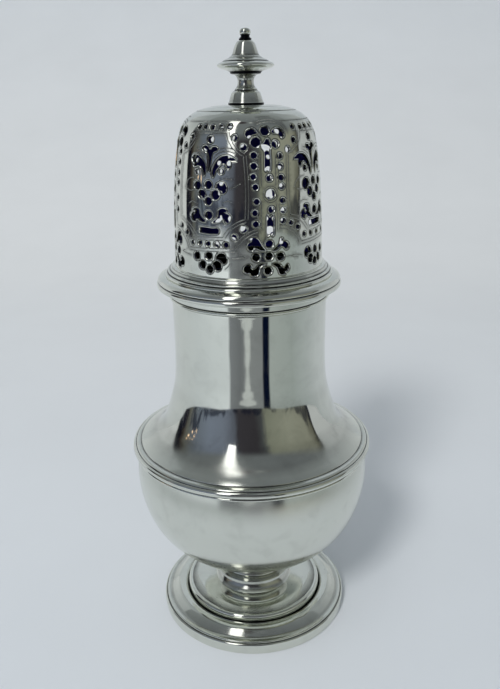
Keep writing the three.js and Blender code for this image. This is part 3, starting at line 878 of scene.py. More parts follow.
@dataclass(frozen=True)
class Piercing:
    """The pattern, measured from the front panels.

    Places are an angle from a panel's middle and a height up the dome. Rounds and dots also give a diameter.
    Wide panels hold a flower over a bunch of grapes, scrolls and a slot in a dotted frame. Narrow ones hold
    petals, a funnel and a slot over a cross of scrolls.
    """

    wide_shapes: tuple[tuple[Point, ...], ...] = (
        ((-7, 33), (-5.8, 33.5), (-3.4, 33.7), (-1.1, 33.4), (0, 32.8), (1.2, 32.8), (2.4, 33.3), (4.1, 33.4),
         (6.5, 33.3), (7.2, 32.8), (6.3, 32.4), (4, 32.1), (2.6, 31.4), (2, 30.2), (1.3, 28.7), (0.3, 27.3),
         (-0.3, 28.7), (-0.8, 30.6), (-1.6, 31.7), (-3.5, 32.2), (-5.8, 32.5)),
        ((-16.5, 30.5), (-15.9, 31.1), (-13.7, 31.4), (-10.9, 31.3), (-8.7, 30.9), (-6.1, 30.3), (-3.9, 29.5),
         (-2.5, 28.4), (-2.6, 27.3), (-3.7, 26.1), (-4.8, 27), (-6.1, 27.9), (-8.1, 28.6), (-10.4, 28.7),
         (-12.4, 28.4), (-14.2, 28.5), (-14.1, 29), (-13.2, 29.3), (-15.1, 29.4), (-16.2, 29.9)),
        ((3.9, 25.9), (2.8, 26.7), (3.2, 28), (4.9, 29.2), (7.5, 30.4), (10.7, 31.1), (13.8, 31.3),
         (17.3, 31.2), (20, 30.7), (22.4, 30.1), (19.6, 30), (17.4, 29.9), (17.9, 29.3), (17.5, 28.5),
         (16, 28.1), (14.7, 28.4), (14, 29), (12.2, 29.4), (10.1, 29.1), (8, 28.3), (6.1, 27.5), (5.3, 26.7)),
        ((-14.8, 17.3), (-12.8, 17.8), (-10.2, 17.8), (-8.4, 17.4), (-7.7, 16.5), (-6, 15.6), (-3.6, 15),
         (-2.1, 14.6), (-4.6, 14.4), (-7.2, 14.6), (-9.5, 15.1), (-11.1, 15), (-12, 14.4), (-14.1, 14.4),
         (-16.2, 15), (-16.5, 15.9), (-15, 16.6), (-12.1, 16.9), (-12.7, 17.3)),
        ((7.8, 16.9), (8.4, 17.7), (10, 18.1), (12.3, 18.2), (14.4, 17.9), (14.3, 17.4), (12.2, 17.2),
         (14.3, 17), (16.7, 16.5), (17.7, 15.8), (16.8, 15), (14.1, 14.4), (12.8, 14.7), (12.6, 15.3),
         (11.3, 15.4), (9.8, 14.9), (6.6, 14.5), (3.4, 14.6), (5.7, 15.2), (7.5, 15.9)),
        ((-8.1, 12.8), (-5.6, 13.1), (-1.3, 13.1), (3.7, 13), (7.5, 13.1), (8.7, 12.6), (8.2, 11.8),
         (4.4, 11.5), (-0.6, 11.5), (-5.7, 11.6), (-8.2, 11.8), (-7.2, 12.3)),
    )
    narrow_shapes: tuple[tuple[Point, ...], ...] = (
        ((-16.4, 36.5), (-15.4, 37.2), (-13.3, 37.6), (-10.7, 37.8), (-8.2, 37.4), (-6.5, 36.7), (-8.2, 36.4),
         (-10.8, 36.2), (-12.4, 35.7), (-13.6, 35.4), (-15.3, 35.8)),
        ((5.2, 36.8), (7.4, 37.5), (10.8, 37.8), (13.7, 37.4), (15.9, 36.6), (16.1, 35.8), (12.9, 35.2),
         (11.6, 35.9), (9.4, 36.4), (6.8, 36.4)),
        ((0.3, 35.2), (2.4, 35.1), (3.3, 34.1), (3.8, 33.3), (2.8, 32.5), (2.8, 30.5), (2.5, 28.4),
         (1.8, 27.3), (0, 27.6), (-1.8, 27.4), (-2.1, 28.7), (-1.8, 30.8), (-2.1, 32.3), (-3.6, 33),
         (-3.9, 33.8), (-2, 34.2)),
        ((-0.9, 16.5), (0.9, 15.8), (3.1, 16.5), (3.9, 15.7), (3.8, 13.8), (3.7, 11.7), (2.9, 10.9),
         (0.8, 11.5), (-1, 11), (-1.5, 12), (-1.4, 13.9), (-1.4, 15.7)),
        ((-13.9, 10.3), (-12.7, 10.7), (-10.2, 10.7), (-7.9, 10.2), (-6.3, 9.2), (-4.6, 8.2), (-2.7, 7.3),
         (-5.3, 7.3), (-7.6, 7.6), (-9.7, 8), (-11.3, 7.9), (-12, 7.4), (-14, 7.4), (-15.5, 8), (-15.6, 8.9),
         (-14.1, 9.5), (-12.1, 9.7), (-12.9, 10)),
        ((2.5, 7.1), (4.7, 7.9), (7.4, 8.8), (8.1, 9.6), (8.8, 10.3), (10.3, 10.2), (10.6, 9.4), (12.7, 9.3),
         (14.8, 8.7), (15.4, 7.8), (14.1, 7.2), (12.3, 7.3), (11.5, 7.8), (9.5, 8.1), (7.4, 7.6), (5, 7)),
        ((-2.9, 3.7), (-5.7, 3.9), (-8.4, 3.4), (-10.6, 2.5), (-12.4, 2.4), (-13.6, 2.9), (-12.8, 3.4),
         (-14.6, 3.8), (-17.1, 3.5), (-18.6, 2.7), (-18.2, 1.8), (-16.2, 1.4), (-14.1, 1.4), (-13.5, 1),
         (-13.1, 0.7), (-10.8, 0.6), (-8.7, 0.9), (-7.7, 1.6), (-7.4, 2.6), (-5.4, 3.3)),
        ((2.5, 3.6), (5.1, 3.8), (7.9, 3.3), (9.7, 2.5), (11.6, 2.3), (13, 2.9), (14.2, 3.2), (15.3, 2.6),
         (15.2, 1.7), (13.5, 1.2), (12, 1.1), (12.6, 0.8), (11.9, 0.5), (9.6, 0.5), (7.6, 0.9), (6.9, 1.6),
         (5.5, 2.7), (3.8, 3.2)),
    )
    wide_rounds: tuple[Triple, ...] = (
        (0.7, 35.1, 1.85), (10.8, 27.5, 1.44), (-10.5, 27.2, 1.38), (-9.9, 23.7, 2.2), (0.1, 24, 2.2),
        (10.6, 23.35, 3), (-5.7, 21.57, 2.3), (6, 21.55, 2.5), (0.1, 19.9, 2.2), (0.4, 16.3, 2.2),
        (-10.9, 5.25, 2.2), (-0.1, 5.6, 2.15), (10.1, 5.05, 3.1), (-5.5, 3.05, 2.3), (6.5, 3.17, 2.6),
        (0.8, 2.1, 2.2),
    )
    narrow_rounds: tuple[Triple, ...] = (
        (-0.4, 37.1, 2.4), (-8.2, 34.4, 2.6), (7.2, 33.9, 2.5), (1.2, 25.7, 1.7), (1.7, 21.65, 2.45),
        (2, 17.75, 1.7), (0.1, 8.9, 2.1), (-9.6, 5.6, 2.2), (-0.2, 5.7, 2.15), (8.5, 5.4, 2.2),
        (-1.1, 1.9, 2.1),
    )
    wide_dots: tuple[Triple, ...] = (
        (-13, 38.1, 1.28), (-6.4, 38.15, 1.28), (1, 38.05, 1.28), (8.7, 38.1, 1.33), (15.9, 38.25, 1.44),
        (20.7, 35.6, 1.49), (27.3, 33.3, 1.69), (35, 31.3, 1.7), (34.9, 28.7, 1.7), (34.3, 26.1, 1.5),
        (35.7, 23.5, 1.54), (36.4, 19.9, 1.54), (35.1, 17.05, 1.54), (35.6, 14.2, 1.64), (26.7, 12.9, 1.75),
        (19.9, 10.9, 1.54), (13.8, 8.8, 1.49), (6.7, 8.85, 1.49), (-0.5, 8.8, 1.28), (-7.7, 8.85, 1.28),
        (-14.7, 8.8, 1.28), (-21.4, 11.1, 1.28), (-28.4, 12.55, 1.28),
        (-19, 35.7, 1.28), (-26.4, 33.4, 1.2), (-34.6, 31.8, 1.3), (-34.8, 29.1, 1.3), (-35.5, 26.3, 1.3),
        (-35.7, 23.7, 1.3), (-35.8, 19.8, 1.3), (-35.9, 16.6, 1.3),
    )
    # The panel right of the front one has its own left side, with the lower frame set higher.
    raised_dots: tuple[Triple, ...] = (
        (-34.8, 30.9, 1.54), (-34.8, 28.3, 1.54), (-34.6, 25.7, 1.54), (-34.4, 23.45, 1.54),
        (-34, 19.85, 1.54), (-33.7, 17.4, 1.54), (-34, 14.7, 1.64), (-27.3, 13.9, 1.3), (-21, 12.6, 1.33),
        (-14.4, 10.45, 1.28), (-6.6, 10.4, 1.28), (2.4, 10.2, 1.28), (-27.3, 32.5, 1.49),
        (-20.4, 34.8, 1.49), (-18.5, 37.8, 1.38), (-9.1, 37.65, 1.28), (-1.4, 37.75, 1.28), (8.1, 37.9, 1.28),
    )
    wide_lines: tuple[tuple[Stroke, tuple[Point, ...]], ...] = (
        (DOUBLE, ((-10.3, 10.2), (-3.3, 10.2), (4.4, 10.35), (12, 10.4))),
        (DOUBLE, ((12, 10.4), (14.1, 11.7), (17.4, 13.1), (21.4, 14.1), (25, 14.8), (28.9, 15.1))),
        (DOUBLE, ((28.9, 15.1), (29.6, 20.4), (29.4, 25.4), (28.8, 29), (28.2, 31.3))),
        (DOUBLE, ((28.2, 31.3), (24.5, 32), (20.3, 33.2), (17.7, 34.4), (15.9, 35.7), (15.1, 36.9))),
        (DOUBLE, ((15.1, 37), (8, 36.96), (-1.1, 37), (-12.8, 37))),
        (DOUBLE, ((-12.8, 37), (-14.4, 35.2), (-18.5, 33.6), (-23.5, 32.3), (-28.4, 31.6))),
        (DOUBLE, ((-28.4, 31.6), (-29.3, 26), (-29.5, 20.4), (-28.8, 15))),
        (DOUBLE, ((-10.3, 10.2), (-13.8, 11.7), (-18.3, 13.2), (-25.7, 14.5), (-28.8, 15))),
        (DOUBLE, ((-18.8, 6.95), (-8.1, 7.1), (5, 7.35), (14.2, 7.45), (20.1, 7.5))),
        (DOUBLE, ((20.1, 7.5), (21.9, 8.8), (24.8, 10.1), (28.8, 11.3), (33, 12.1), (37.4, 12.5))),
        (DOUBLE, ((-18.8, 6.95), (-20.9, 8.7), (-25.5, 10.4), (-30.5, 11.5), (-37.4, 12))),
        (SINGLE, ((-31.6, 39.3), (-11.3, 39.35), (5.1, 39.4), (23.8, 39.5))),
        (SINGLE, ((10.2, 25.6), (14.8, 25.6), (18.9, 25.5))),
        (SINGLE, ((16.6, 23.25), (20.7, 23.6), (25, 24.5))),
        (DOUBLE, ((3.6, 30.9), (5.5, 31.7), (9.8, 32.5), (15.7, 32.7), (21, 32.2))),
        (DOUBLE, ((-12, 32.5), (-8.5, 32.1), (-4.2, 31.2))),
        (SINGLE, ((-13, 25.6), (-17.5, 25.4), (-21.5, 24.4), (-23.6, 22.9))),
        (SINGLE, ((-12.8, 22.6), (-17, 22.2), (-21, 22.5))),
        (SINGLE, ((19, 19.5), (16, 20.1), (12.5, 19.7))),
        (SINGLE, ((-19, 18.8), (-15, 19.5), (-10.5, 19.2))),
        (SINGLE, ((13.2, 6.1), (16.2, 5.2), (15.9, 3.6), (12.8, 2.4))),
    )
    narrow_lines: tuple[tuple[Stroke, tuple[Point, ...]], ...] = (
        (DOUBLE, ((-6.6, 12.7), (-6.7, 16.6), (-6.2, 20))),
        (DOUBLE, ((-6, 23.5), (-6.1, 27.7), (-6, 31.8))),
        (DOUBLE, ((7.5, 31.6), (7.2, 27.5), (6.9, 23.6))),
        (DOUBLE, ((6.7, 19.6), (7.3, 16.3), (7.1, 12.4))),
        (DOUBLE, ((-8.6, 38.75), (-3.1, 39.2), (2.2, 39.4), (8.7, 39.3), (13.5, 38.8), (16.9, 37.8),
                         (18.3, 36.5))),
        (SINGLE, ((-6, 40.2), (-0.2, 40.35), (5.8, 40.25))),
        (SINGLE, ((12, 5.25), (16.6, 5.35), (21.2, 5.5), (28.1, 4.95))),
        (SINGLE, ((16.6, 5.35), (20.2, 4.9), (23.4, 4.7))),
        (SINGLE, ((-27.9, 5.3), (-22.9, 5.4), (-16.5, 5.65))),
        (SINGLE, ((-22.1, 6.2), (-18.9, 6), (-16.5, 5.65))),
    )
    wide_middles: tuple[float, ...] = (-30.0, 60.0, 150.0, -120.0)
    narrow_middles: tuple[float, ...] = (15.0, 105.0, -165.0, -75.0)
    raised_middle: float = 60.0
    raised_by: float = 1.35
    # An engraved ring round the narrow panels' eye: its angle, height and radius.
    eye_ring: Triple = (1.7, 21.65, 2.05)


class Edge(IntEnum):
    """Which edge a point of the sheet is on. A hole's edge has the hole's own number, from 0 up."""

    NONE = -1
    FOOT = -2
    TOP = -3


@dataclass
class Sheet:
    """One face of the dome's sheet, laid flat.

    It holds the points (across and up), how deep and how tarnished each lies, the edge each is on, and the
    triangles.
    """

    flat: Array
    depth: Array
    film: Array
    edge: Array
    triangles: Array


@dataclass
class Dome:
    """The pierced dome, cut out of raised sheet as one mesh, with the graver's lines pressed into it.

    The sheet is laid flat, triangulated round its holes and lines, and bent back. Across is the angle times
    flat_radius, and up is the length along the dome's outline.
    """

    pattern: Piercing = field(default_factory=Piercing)
    sheet: float = 0.9
    flat_radius: float = 21.0
    base: float = 115.9
    crown: Point = (13.5, 157.45)
    top: Point = (4.85, 159.0)
    grid: float = 0.8
    inner_grid: float = 1.7
    # The flat sheet is triangulated this far past its own sides, so that it joins cleanly round the back.
    margin: float = 6.5
    line_step: float = 0.3
    line_depth: float = 0.05
    edge_depth: float = 0.1
    # Round each hole the saw's burr has been eased off in rings: how far out, how deep, and how tarnished.
    rings: tuple[Triple, ...] = ((0.14, 0.004, 0.0), (0.3, 0.045, 0.85), (0.46, 0.0, 0.0))
    lowest_cut: float = 0.5
    # The least metal between two holes, and how finely a shaped hole's outline is stepped.
    bridge: float = 0.2
    cut_step: float = 0.24
    foot_points: int = 192
    outline: Run = field(default_factory=lambda: [
        (21.32, 115.9), (21.2, 118.5), (21.1, 121.5), (20.95, 127.5), (20.72, 133.5), (20.3, 139.5),
        (19.82, 144.5), (19.2, 148.5), (18.7, 151.0), (18.05, 153.0), (17.2, 154.55), (16.1, 155.75),
        (14.9, 156.7), (13.5, 157.45),
    ])

    def __post_init__(self) -> None:
        """Traces the outline and measures along it."""
        self._line = through(self.outline, per_span=30)
        self._run = measured(self._line)
        self._slope = np.gradient(self._line, self._run, axis=0)
        self._rng = np.random.default_rng(17)

    @property
    def girth(self) -> float:
        """The flat sheet's width."""
        return 2 * math.pi * self.flat_radius

    @property
    def length(self) -> float:
        """The flat sheet's height."""
        return float(self._run[-1])

    def flat(self, angles: Array, heights: Array) -> Array:
        """Lays places on the dome out flat.

        Args:
            angles: Degrees round the axis.
            heights: Millimetres above the dome's foot.

        Returns:
            Across and up, one row each.
        """
        up = np.interp(np.asarray(heights) + self.base, self._line[:, 1], self._run)
        return np.column_stack([np.radians(angles) * self.flat_radius, up])

    def bent(self, flat: Array, depth: Array) -> Array:
        """Bends places on the flat sheet back to the dome.

        Args:
            flat: Across and up, one row each.
            depth: How far below the outside each lies.

        Returns:
            Places in space.
        """
        normal = self.normals(flat)
        turn = flat[:, 0] / self.flat_radius
        radius = np.interp(flat[:, 1], self._run, self._line[:, 0])
        height = np.interp(flat[:, 1], self._run, self._line[:, 1])
        surface = np.column_stack([radius * np.sin(turn), -radius * np.cos(turn), height])
        return surface - normal * np.asarray(depth)[:, None]

    def normals(self, flat: Array) -> Array:
        """Gives the smooth dome's outward direction at places on the flat sheet.

        Args:
            flat: Across and up, one row each.

        Returns:
            Unit directions.
        """
        turn = flat[:, 0] / self.flat_radius
        out = np.interp(flat[:, 1], self._run, self._slope[:, 1])
        up = -np.interp(flat[:, 1], self._run, self._slope[:, 0])
        size = np.hypot(out, up)
        return np.column_stack([out / size * np.sin(turn), -out / size * np.cos(turn), up / size])

    def _round(self, angle: float, height: float, diameter: float, count: int) -> Array:
        """Draws a round hole on the flat sheet.

        Args:
            angle: Degrees round the axis.
            height: Millimetres above the dome's foot.
            diameter: The hole's diameter.
            count: How many points it gets.

        Returns:
            Its outline.
        """
        unevenness = 0.025
        middle = self.flat(np.array([angle]), np.array([max(height, self.lowest_cut + diameter / 2)]))[0]
        radius = np.interp(middle[1], self._run, self._line[:, 0])
        turns = (np.arange(count) + self._rng.random()) * 2 * math.pi / count
        across = diameter / 2 * self.flat_radius / radius
        wobble = 1 + unevenness * self._rng.standard_normal(count)
        return middle + np.column_stack([
            across * np.cos(turns), diameter / 2 * np.sin(turns),
        ]) * wobble[:, None]

    def _shape(self, middle: float, places: tuple[Point, ...], lift: float, flip: bool) -> Array:
        """Draws a shaped hole on the flat sheet.

        Args:
            middle: The panel's middle, in degrees.
            places: The hole's outline in the panel.
            lift: How much higher it sits than in the front panel.
            flip: Whether the panel is mirrored.

        Returns:
            Its outline.
        """
        side = -1 if flip else 1
        angles = np.array([middle + side * a for a, _ in places])
        heights = np.maximum(np.array([h + lift for _, h in places]), self.lowest_cut)
        outline = spaced(through(self.flat(angles, heights), closed=True), self.cut_step, closed=True)
        area = np.sum(outline[:, 0] * np.roll(outline[:, 1], -1) - np.roll(outline[:, 0], -1) * outline[:, 1])
        return outline if area > 0 else outline[::-1]

    def holes(self) -> list[Array]:
        """Lays out every hole.

        Returns:
            The holes' outlines on the flat sheet, anticlockwise.
        """
        p = self.pattern
        grape_points, dot_points, round_points = 22, 14, 20
        found: list[Array] = []
        # The front panels are as measured. The others drift a little from them, as sawn by hand.
        for panel, middle in enumerate(p.wide_middles):
            flip, drift = panel % 2 == 1, 0.0 if panel == 0 else 0.12
            side = -1 if flip else 1
            lifted = middle == p.raised_middle
            for places in p.wide_shapes:
                lift = p.raised_by * 0.6 if lifted and max(h for _, h in places) < 14 else 0.0
                found.append(self._shape(middle, places, lift + drift * self._rng.standard_normal(), flip))
            grapes = [
                self._round(middle + side * a, h + drift * self._rng.standard_normal(), d, grape_points)
                for a, h, d in p.wide_rounds
            ]
            found.extend(self._bitten(grapes))
            dots = p.raised_dots + tuple(d for d in p.wide_dots if d[0] > 10) if lifted else p.wide_dots
            side = 1 if lifted else side
            for a, h, d in dots:
                height = h + (p.raised_by if lifted and 6 < h < 14 and a > 10 else 0.0)
                height += drift * self._rng.standard_normal() * 0.6
                found.append(self._round(middle + side * a, height, d, dot_points))
        for panel, middle in enumerate(p.narrow_middles):
            flip, drift = panel % 2 == 1, 0.0 if panel == 0 else 0.1
            side = -1 if flip else 1
            for places in p.narrow_shapes:
                found.append(self._shape(middle, places, drift * self._rng.standard_normal(), flip))
            for a, h, d in p.narrow_rounds:
                height = h + drift * self._rng.standard_normal()
                found.append(self._round(middle + side * a, height, d, round_points))
        return self._parted(found)

    def _bitten(self, rounds: list[Array]) -> list[Array]:
        """Lets the rim of each lower round cut into the one above it, as in a drawn bunch of grapes.

        Args:
            rounds: The outlines of round holes.

        Returns:
            The outlines, with bites taken.
        """
        drop, reach, rim = 0.8, 3.6, 0.36
        middles = [r.mean(axis=0) for r in rounds]
        sizes = [np.linalg.norm(r - m, axis=1).mean() for r, m in zip(rounds, middles)]
        for upper, high in zip(rounds, middles):
            for low, size in zip(middles, sizes):
                if low[1] > high[1] - drop or np.linalg.norm(low - high) > reach:
                    continue
                away = upper - low
                gap = np.linalg.norm(away, axis=1)
                keep = size + rim
                near = gap < keep
                upper[near] = low + away[near] / gap[near][:, None] * keep
        return rounds

    def _parted(self, found: list[Array]) -> list[Array]:
        """Draws in holes that come too near an earlier one.

        Args:
            found: The holes' outlines.

        Returns:
            Outlines with metal between them.
        """
        most_steps, shrink, look = 12, 0.94, self.bridge + 0.1
        parted: list[Array] = []
        copies: list[Array] = []
        for outline in found:
            middle = outline.mean(axis=0)
            outline = outline - [round(middle[0] / self.girth) * self.girth, 0]
            for _ in range(most_steps):
                low, high = outline.min(axis=0) - look, outline.max(axis=0) + look
                near = [c for c in copies if (c.max(axis=0) > low).all() and (c.min(axis=0) < high).all()]
                if not any(
                    np.linalg.norm(outline[:, None] - c[None], axis=2).min() < self.bridge for c in near
                ):
                    break
                middle = outline.mean(axis=0)
                outline = middle + (outline - middle) * shrink
            parted.append(outline)
            copies.extend(outline + [k * self.girth, 0] for k in (-1, 0, 1))
        return parted

    def lines(self) -> list[tuple[Stroke, Array]]:
        """Lays out every engraved line.

        Returns:
            How each is cut, and its points on the flat sheet.
        """
        p = self.pattern
        # In the raised panel, lines that start in the lower frame are lifted: in full under 14 mm, and not at
        # all from 16.
        frame_low, frame_high, settles, over = 6.5, 15.0, 16.0, 2.0
        panels = [(k, middle, p.wide_lines) for k, middle in enumerate(p.wide_middles)]
        panels += [(k, middle, p.narrow_lines) for k, middle in enumerate(p.narrow_middles)]
        found = []
        for panel, middle, lines in panels:
            raised = middle == p.raised_middle
            side = -1 if panel % 2 == 1 and not raised else 1
            for stroke, places in lines:
                lift = p.raised_by if raised and frame_low < places[0][1] < frame_high else 0.0
                heights = np.array([h + lift * np.clip((settles - h) / over, 0, 1) for _, h in places])
                angles = np.array([middle + side * a for a, _ in places])
                found.append((stroke, self.flat(angles, heights)))
            if lines is p.narrow_lines:
                angle, height, radius = p.eye_ring
                turns = np.radians(np.linspace(0, 360, 14))
                eye = self.flat(np.array([middle + side * angle]), np.array([height]))[0]
                found.append((SINGLE, eye + radius * np.column_stack([np.cos(turns), np.sin(turns)])))
        return found

    def _line_rows(self) -> Array:
        """Sets points out along both sides and the bottom of every engraved line.

        Returns:
            A row for each point: across, up, depth and film.
        """
        across = {
            DOUBLE: ((-0.51, 0.0), (-0.4, 1.0), (-0.29, 0.0), (0.29, 0.0), (0.4, 1.0), (0.51, 0.0)),
            SINGLE: ((-0.11, 0.0), (0.0, 1.0), (0.11, 0.0)),
        }
        rows = []
        for stroke, knots in self.lines():
            middle = spaced(through(knots, per_span=8), self.line_step)
            along = np.gradient(middle, axis=0)
            along /= np.linalg.norm(along, axis=1)[:, None]
            sideways = np.column_stack([-along[:, 1], along[:, 0]])
            ends = np.minimum(np.arange(len(middle)), np.arange(len(middle))[::-1])
            for k, (offset, share) in enumerate(across[stroke]):
                shift = along * (self.line_step / 2 * (k % 2))
                depth = self.line_depth * share * np.clip(ends / 2, 0, 1)
                film = np.clip(depth / self.line_depth, 0.2, 1.0)
                rows.append(np.column_stack([middle + sideways * offset + shift, depth, film]))
        return np.vstack(rows)

    def _ring(self, outline: Array, offset: float) -> Array:
        """Offsets a hole's outline outwards.

        Args:
            outline: The hole's outline, anticlockwise.
            offset: How far out to go.

        Returns:
            The points moved out, or for every other offset those halfway between them, so that the rings
            interlock.
        """
        ahead = np.roll(outline, -1, axis=0)
        between = int(offset * 100) % 2
        middle = (outline + ahead) / 2 if between else outline
        along = ahead - outline if between else ahead - np.roll(outline, 1, axis=0)
        along = along / (np.linalg.norm(along, axis=1)[:, None] + 1e-9)
        return middle + np.column_stack([along[:, 1], -along[:, 0]]) * offset

    @staticmethod
    def _inside(points: Array, outline: Array) -> Array:
        """Tells which points lie inside an outline.

        Args:
            points: The points to test.
            outline: The closed outline.

        Returns:
            True for each point inside.
        """
        ahead = np.roll(outline, -1, axis=0)
        x, y = points[:, :1], points[:, 1:]
        crosses = (outline[:, 1] > y) != (ahead[:, 1] > y)
        rise = np.where(ahead[:, 1] == outline[:, 1], 1e-12, ahead[:, 1] - outline[:, 1])
        cut = outline[:, 0] + (y - outline[:, 1]) / rise * (ahead[:, 0] - outline[:, 0])
        return (crosses & (x < cut)).sum(axis=1) % 2 == 1

    def _spread(self, rows: Array) -> Array:
        """Copies what lies near the sheet's sides to the other side, so that the sheet joins round the back.

        Args:
            rows: A row for each point, which starts with across.

        Returns:
            The rows, with the copies added.
        """
        half = self.girth / 2
        home = rows.copy()
        home[:, 0] = (home[:, 0] + half) % self.girth - half
        turn = np.zeros(rows.shape[1])
        turn[0] = self.girth
        return np.vstack([
            home, home[home[:, 0] < -half + self.margin] + turn, home[home[:, 0] > half - self.margin] - turn,
        ])

    def _clear(self, rows: Array, taken: list[Array], gap: float, outlines: Outlines) -> Array:
        """Keeps the points that lie outside the holes and keep their distance from those already taken.

        Args:
            rows: A row for each point to test, which starts with across and up.
            taken: The rows already in the sheet.
            gap: The least distance to keep.
            outlines: The sheet's edges, by number.

        Returns:
            The rows that are clear.
        """
        present = np.vstack(taken)[:, :2]
        tree = KDTree(len(present))
        for i, (x, y) in enumerate(present):
            tree.insert((x, y, 0), i)
        tree.balance()
        points = rows[:, :2]
        keep = np.array([tree.find((x, y, 0))[2] > gap for x, y in points], bool)
        for number, outline in outlines:
            if number >= 0:
                box = (points >= outline.min(axis=0)) & (points <= outline.max(axis=0))
                found = np.flatnonzero(box.all(axis=1))
                keep[found[self._inside(points[found], outline)]] = False
        return rows[keep]

    def _edges(self, holes: list[Array]) -> Outlines:
        """Lists the lines that bound the flat sheet.

        Args:
            holes: The holes' outlines.

        Returns:
            The foot, the top, and every hole and its copies past the sheet's sides, each with its number.
        """
        inset = 0.5
        extent, step = self.girth / 2 + self.margin, self.girth / self.foot_points
        reach = int(self.margin / step)
        ticks = -self.girth / 2 + step * np.arange(-reach, self.foot_points + reach + 1)
        outlines: Outlines = [
            (Edge.FOOT, np.column_stack([ticks, np.zeros(len(ticks))])),
            (Edge.TOP, np.column_stack([ticks, np.full(len(ticks), self.length)])),
        ]
        for number, hole in enumerate(holes):
            for shift in (-self.girth, 0.0, self.girth):
                moved = hole + [shift, 0]
                if moved[:, 0].max() < extent - inset and moved[:, 0].min() > inset - extent:
                    outlines.append((number, moved))
        return outlines

    def _dressing(self, holes: list[Array], outlines: Outlines, fixed: Array) -> list[Array]:
        """Sets out the eased rings round the holes, and the engraved lines.

        Args:
            holes: The holes' outlines.
            outlines: The sheet's edges, by number.
            fixed: The rows of the edges' own points.

        Returns:
            The rows of all of these, fixed among them.
        """
        # The least gap between points: from a ring to others, from a line to others, and between lines.
        ring_gap, line_gap, cut_gap = 0.105, 0.11, 0.095
        rows = [fixed]
        for offset, depth, film in self.rings:
            ring = self._spread(np.vstack([self._ring(h, offset) for h in holes]))
            ring = np.column_stack([ring, np.full(len(ring), depth), np.full(len(ring), film)])
            rows.append(self._clear(ring, rows, ring_gap, outlines))
        lines = self._clear(self._spread(self._line_rows()), rows, line_gap, outlines)
        lines = lines[np.argsort(-lines[:, 2], kind="stable")]
        rows.append(lines[self._thin(lines[:, :2], cut_gap)])
        return rows

    def _lattice(self, grid: float) -> Array:
        """Sets out the plain metal's points, in staggered rows a little out of true.

        Args:
            grid: Their spacing.

        Returns:
            A row for each point: across, up, and no depth or film.
        """
        columns, levels = round(self.girth / grid), round(self.length / (grid * 0.866))
        across = self.girth / columns
        points = np.array([
            (-self.girth / 2 + (i + 0.5 * (k % 2)) * across, (k + 0.5) * self.length / levels)
            for k in range(levels) for i in range(columns)
        ])
        points = points + (np.random.default_rng(5).random(points.shape) - 0.5) * 0.04 * grid
        return self._spread(np.column_stack([points, np.zeros((len(points), 2))]))

    def _triangulate(self, holes: list[Array], grid: float, detailed: bool) -> Sheet:
        """Triangulates the flat sheet round its holes.

        Args:
            holes: The holes' outlines.
            grid: The spacing of the plain metal's points.
            detailed: Whether to add the eased edges, rings and engraved lines.

        Returns:
            The sheet, with the copies past its sides.
        """
        half, extent = self.girth / 2, self.girth / 2 + self.margin
        outlines = self._edges(holes)
        owner = np.concatenate([np.full(len(o), n) for n, o in outlines])
        segments, start = [], 0
        for number, outline in outlines:
            count = len(outline)
            segments.extend(
                (start + i, start + (i + 1) % count) for i in range(count if number >= 0 else count - 1)
            )
            start += count
        eased = np.where(owner >= 0, self.edge_depth if detailed else 0.0, 0.0)
        rows = [np.column_stack([np.vstack([o for _, o in outlines]), eased, np.zeros(len(owner))])]
        if detailed:
            rows = self._dressing(holes, outlines, rows[0])
        rows.append(self._clear(self._lattice(grid), rows, (0.5 if detailed else 0.35) * grid, outlines))
        points = np.vstack(rows)
        edge = np.full(len(points), int(Edge.NONE))
        edge[: len(owner)] = owner
        inside = (
            (np.abs(points[:, 0]) <= extent) & (points[:, 1] > -1e-9) & (points[:, 1] < self.length + 1e-9)
        )
        places = np.flatnonzero(inside)
        renumber = -np.ones(len(points), int)
        renumber[places] = np.arange(len(places))
        fixed = [
            (int(renumber[a]), int(renumber[b])) for a, b in segments if renumber[a] >= 0 and renumber[b] >= 0
        ]
        points, edge = points[places], edge[places]
        flat = points[:, :2]
        found = delaunay_2d_cdt([Vector(p) for p in flat.tolist()], fixed, [], 0, 1e-7, True)
        source = np.array([s[0] if s else -1 for s in found[3]])
        triangles = source[np.array(found[2])]
        triangles = triangles[(triangles >= 0).all(axis=1)]
        owners = edge[triangles]
        suspects = np.flatnonzero((owners[:, 0] >= 0) & (owners == owners[:, :1]).all(axis=1))
        middles = flat[triangles].mean(axis=1)
        drop = (middles[:, 0] < -half) | (middles[:, 0] >= half)
        for number, outline in outlines:
            if number >= 0:
                near = suspects[owners[suspects, 0] == number]
                drop[near[self._inside(middles[near], outline)]] = True
        return Sheet(flat, points[:, 2], points[:, 3], edge, triangles[~drop])

    @staticmethod
    def _thin(points: Array, gap: float) -> Array:
        """Picks points in order, leaving out each that comes too near one already picked.

        Args:
            points: The points, the most wanted first.
            gap: The least distance to keep.

        Returns:
            The places of the picked points.
        """
        cells: dict[tuple[int, int], list[int]] = {}
        chosen = []
        for i, (x, y) in enumerate(points):
            cell = (int(x // gap), int(y // gap))
            near = (
                k for a in (-1, 0, 1) for b in (-1, 0, 1) for k in cells.get((cell[0] + a, cell[1] + b), ())
            )
            if all((points[k][0] - x) ** 2 + (points[k][1] - y) ** 2 > gap * gap for k in near):
                cells.setdefault(cell, []).append(i)
                chosen.append(i)
        return np.array(chosen, int)

    def _key(self, place: Array) -> tuple[int, int]:
        """Names a place on the flat sheet, the same on both sides of the seam."""
        return (
            round(float(place[0] % self.girth) * 2000) % round(self.girth * 2000),
            round(float(place[1]) * 2000),
        )

